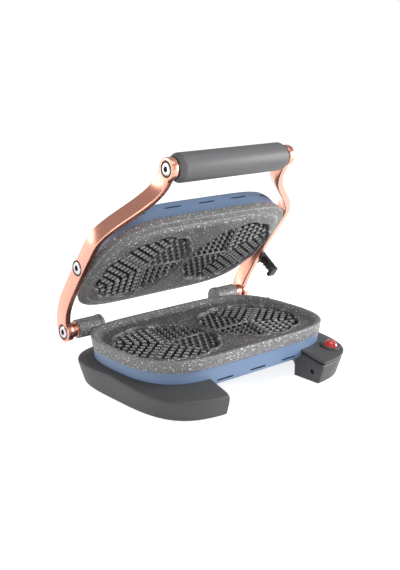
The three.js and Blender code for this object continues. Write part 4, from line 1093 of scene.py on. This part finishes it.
def strap_ring(t, beyond, half_width):
    ahead, behind = min(1, t + 0.002), max(0, t - 0.002)
    step = strap_place(ahead) - strap_place(behind)
    tangent = step.normalized()
    lean = (strap_out(ahead) - strap_out(behind)) / step.length
    middle = strap_place(t) + tangent * beyond
    along = Vector((lean, tangent.x, tangent.y)).normalized()
    across = Vector((0, -tangent.y, tangent.x)).normalized()
    inward = along.cross(across).normalized()
    if inward.x > 0:
        inward.negate()
    origin = Vector((strap_out(t), middle.x, middle.y))
    radius = min(STRAP_EDGE, half_width / 2)
    ring = []
    for side, deep, start in ((1, 0, 90), (1, 1, 0), (-1, 1, -90), (-1, 0, -180)):
        for k in range(5):
            turn = radians(start - 22.5 * k)
            w = side * (half_width - radius) + radius * cos(turn)
            d = (STRAP_THICKNESS - radius if deep else radius) - radius * sin(turn)
            ring.append(tuple(origin + across * w + inward * d))
    return ring


def lug_rings(reach, blend, at_handle):
    """A round end, from its tip to where the bar takes over."""
    tip = radians(88)
    rings = []
    for i in range(17):
        turn = tip + (-blend - tip) * i / 16
        past, within = max(0, reach * sin(turn)), max(0, -reach * sin(turn))
        share = strap_share_at(STRAP_WALK[-1] - within if at_handle else within)
        rings.append(strap_ring(share, past if at_handle else -past, reach * cos(turn)))
    return rings


def strap():
    """The right strap, from its round end at the hinge to the one at the handle."""
    hinge_blend = acos(STRAP_WIDTHS[0] / 2 / HINGE_LUG)
    handle_blend = acos(STRAP_WIDTHS[2] / 2 / HANDLE_LUG)
    start = strap_share_at(HINGE_LUG * sin(hinge_blend))
    end = strap_share_at(STRAP_WALK[-1] - HANDLE_LUG * sin(handle_blend))
    shares = [start + (end - start) * i / 72 for i in range(1, 72)]
    arm = draw_up("strap_right", [
        *lug_rings(HINGE_LUG, hinge_blend, False),
        *(strap_ring(t, 0, strap_width(t) / 2) for t in shares),
        *reversed(lug_rings(HANDLE_LUG, handle_blend, True)),
    ])
    for x, y, z in SCREW_PLACES.values():
        counterbore = turn_along("counterbore", (x, y, z), [
            (0.01, -4.2), (9.0, -4.2), (9.0, -0.5), (9.5, 0.0), (10.4, 0.9), (10.4, 4), (0.01, 4),
        ], steps=64)
        carve(arm, counterbore)
    smooth(arm, 34)
    return arm


SCREW_PLACES = {
    "hinge": (ARM_HINGE_X, HINGE_BACK, HINGE_HEIGHT),
    "lid_pivot": (ARM_MIDDLE_X, LID_PIVOT.y, LID_PIVOT.z),
    "handle": (ARM_HANDLE_X, -HANDLE_FORWARD, HANDLE_HEIGHT),
}
SCREW_REACHES = {"hinge": 103.3, "lid_pivot": 133.6, "handle": 70.9}

right_strap = strap()
left_strap = mirrored(right_strap, "strap_left")
smooth(left_strap, 34)
for side, piece in (("right", right_strap), ("left", left_strap)):
    settle(piece, rose_metal, "arms", "arm_" + side)


def hex_radius(turn, across):
    """How far a hexagon reaches at a turn, from its width to one flat side."""
    sixth = pi / 3
    return across / cos((turn % sixth) - sixth / 2)


def domed_screw(name, x, y, z, reach):
    """A cap screw with a low dome, a hexagonal socket and its shank inwards."""
    face = x + HEAD_PROUD
    turns = [(i + 0.5) * 2 * pi / 48 for i in range(48)]
    round_places = [
        (0.01, reach), (2.6, reach), (3, reach + 0.4), (3, face - HEAD_HEIGHT), (7.1, face - HEAD_HEIGHT),
        (7.3, face - 3.2), (7.3, face - 1.3), (7.15, face - 0.8), (6.7, face - 0.42), (5.9, face - 0.18),
        (4.9, face - 0.04), (4.1, face),
    ]
    sections = [([radius] * 48, along) for radius, along in round_places]
    for across, along in ((3.25, face), (3.0, face - 0.25), (3.0, face - 1.9)):
        sections.append(([hex_radius(a, across) for a in turns], along))
    screw = draw_up(name, [
        [(along, y + r * cos(a), z + r * sin(a)) for r, a in zip(radii, turns)]
        for radii, along in sections
    ])
    smooth(screw, 30)
    return screw


def pair(piece, name, finish, node):
    """Settles a right piece of the arms and its mirrored twin."""
    other = mirrored(piece, name + "_left")
    smooth(other, 30)
    piece.name = name + "_right"
    for side, part in (("right", piece), ("left", other)):
        settle(part, finish, "arms", node + "_" + side)
    return piece, other


for joint, (x, y, z) in SCREW_PLACES.items():
    def in_painted_socket_shade(u, v, w):
        return x - 1.5 < abs(u) < x + 0.55 and hypot(v - y, w - z) < 3.4

    screw = domed_screw("screw", x, y, z, SCREW_REACHES[joint])
    # The hex sockets get black as painted shade
    for part in pair(screw, joint + "_cap_screw", steel, joint + "_screw"):
        paint_shade(part, black_plastic, in_painted_socket_shade)
    seat = x + HEAD_PROUD - HEAD_HEIGHT - HEAD_PLAY
    bush = turned("bush", (0, y, z), [
        (3.3, seat - 1.2), (8.8, seat - 1.2), (8.8, x + 0.1), (8.6, x + 0.3), (7.8, x + 0.3), (7.6, x + 0.1),
        (7.6, seat), (3.3, seat), (3.3, seat - 1.2),
    ], closed_ends=False)
    pair(bush, joint + "_seat", black_plastic, joint + "_bush")

for joint, name, finish, node, profile in (
    ("hinge", "hinge_collar", rose_metal, "hinge_boss", [
        (3.3, 127.3), (8.9, 127.3), (9.4, 127.8), (9.4, 128.6), (8.7, 129.1), (8.7, 130.0), (9.4, 130.5),
        (9.4, 136.0), (9.1, 136.3), (3.3, 136.3), (3.3, 127.3),
    ]),
    ("lid_pivot", "pivot_spacer", black_plastic, "lid_pivot_spacer", [
        (3.3, 139.9), (7.7, 139.9), (8, 140.1), (8, 141.7), (7.7, 141.9), (3.3, 141.9), (3.3, 139.9),
    ]),
    ("handle", "grip_washer", black_plastic, "grip_ring", [
        (5.9, 81.6), (12.7, 81.6), (13, 81.8), (13, 82.7), (12.7, 82.9), (5.9, 82.9), (5.9, 81.6),
    ]),
):
    axis = (0, *SCREW_PLACES[joint][1:])
    pair(turned(name, axis, profile, closed_ends=False), name, finish, node)

# Handle: a chamfered grip on a rod

HANDLE_AXIS = (0, -HANDLE_FORWARD, HANDLE_HEIGHT)

grip = turned("grip", HANDLE_AXIS, [
    (5.9, -81.3), (12.6, -81.3), (13.0, -81.1), (13.3, -80.7), (16.0, -76.0), (16.3, -75.2), (16.4, -74.2),
    (16.4, 74.2), (16.3, 75.2), (16.0, 76.0), (13.3, 80.7), (13.0, 81.1), (12.6, 81.3), (5.9, 81.3),
    (5.9, -81.3),
], steps=96, closed_ends=False, angle=25)
settle(grip, soft_grip, "arms", "handle_grip")

rod = turned("grip_rod", HANDLE_AXIS, [
    (3.3, -82.9), (5.3, -82.9), (5.6, -82.6), (5.6, 82.6), (5.3, 82.9), (3.3, 82.9), (3.3, 70.6),
    (0.01, 70.6), (0.01, -70.6), (3.3, -70.6), (3.3, -82.9),
], closed_ends=False)
settle(rod, steel, "arms", "handle_rod")

# Latch: the solids' own pieces with their edges broken


def broken_edges(node, name, width):
    """A copy of a node, merged to whole faces, with its edges broken."""
    copy = twin(bpy.data.objects[node], name)
    open_up(copy)
    bpy.ops.mesh.remove_doubles(threshold=0.00001)
    bpy.ops.mesh.dissolve_limited(angle_limit=radians(2))
    bpy.ops.object.mode_set(mode="OBJECT")
    soften(copy, width, 2, 35)
    smooth(copy, 34)
    return copy


for node, name, body, finish, width in (
    ("latch_lever", "latch_channel", "latch", black_plastic, 0.6),
    ("latch_screw", "latch_pin", "arms", steel, 0.4),
):
    dress(broken_edges(node, name, width), finish, body, node)


# Camera, lamps and ground

CAMERA_PLACE, CAMERA_LENS = Vector((-687.9, -791.5, 395.6)), 57.65
CAMERA_HEADING, CAMERA_DIP = radians(40.43), radians(15.23)
LAMP_TARGET = Vector((0, 0, 90))


def stand(name, data, place, look):
    """Puts a camera or lamp at a place and points it."""
    item = bpy.data.objects.new(name, data)
    bpy.context.collection.objects.link(item)
    item.location = place
    item.rotation_euler = look.to_track_quat("-Z", "Y").to_euler()
    return item


def set_camera():
    data = bpy.data.cameras.new("camera")
    data.lens, data.sensor_width = CAMERA_LENS, 36.0
    data.clip_start, data.clip_end = 0.01, 200.0
    level = cos(CAMERA_DIP)
    look = (sin(CAMERA_HEADING) * level, cos(CAMERA_HEADING) * level, -sin(CAMERA_DIP))
    bpy.context.scene.camera = stand("camera", data, PLATE_MIDDLE + CAMERA_PLACE * MM, Vector(look))


def set_lamp(name, place, size, power):
    data = bpy.data.lights.new(name, "AREA")
    data.shape, data.size, data.energy = "DISK", size, power
    there = PLATE_MIDDLE + Vector(place)
    stand(name, data, there, PLATE_MIDDLE + LAMP_TARGET * MM - there)


def mixed(tree, share, first, second):
    mix = add_node(tree, "MixShader")
    for socket, value in zip(mix.inputs, (share, first.outputs[0], second.outputs[0])):
        feed(tree, socket, value)
    return mix.outputs[0]


def set_surroundings():
    world = bpy.data.worlds.new("studio")
    bpy.context.scene.world = world
    world.use_nodes = True
    tree = world.node_tree
    tree.nodes.clear()
    path = add_node(tree, "LightPath")
    seen = sum_node(tree, "MULTIPLY", path.outputs["Is Glossy Ray"], 0.3)
    seen = sum_node(tree, "MAXIMUM", seen, path.outputs["Is Camera Ray"])
    ambient = add_node(tree, "Background", Strength=0.26, Color=(1, 1, 1, 1))
    white = add_node(tree, "Background", Color=(1, 1, 1, 1))
    add_node(tree, "OutputWorld", Surface=mixed(tree, seen, ambient, white))


def lay_floor():
    put_down()
    bpy.ops.mesh.primitive_plane_add(size=60)
    floor = bpy.context.object
    floor.name = "floor"
    finish = bpy.data.materials.new("white_sweep")
    finish.use_nodes = True
    tree = finish.node_tree
    shader = tree.nodes["Principled BSDF"]
    set_inputs(tree, shader, Base_Color=(0.9, 0.9, 0.9, 1), Roughness=1.0, Specular_IOR_Level=0.0)
    path = add_node(tree, "LightPath")
    seen = sum_node(tree, "MAXIMUM", path.outputs["Is Camera Ray"], path.outputs["Is Glossy Ray"])
    glow = add_node(tree, "Emission", Strength=0.78)
    lit = add_node(tree, "AddShader")
    tree.links.new(shader.outputs[0], lit.inputs[0])
    tree.links.new(glow.outputs[0], lit.inputs[1])
    set_inputs(tree, tree.nodes["Material Output"], Surface=mixed(tree, seen, shader, lit))
    floor.data.materials.append(finish)


set_camera()
set_lamp("left_lamp", (-1.3, -1.3, 0.6), 0.9, 9)
set_lamp("back_lamp", (-1.3, 1.3, 0.5), 1.0, 9)
set_lamp("right_lamp", (1.45, -1.0, 0.5), 0.8, 30)
set_lamp("top_lamp", (0.3, -0.7, 1.6), 1.0, 12)
set_surroundings()
lay_floor()
bpy.context.scene.view_settings.view_transform = "Standard"
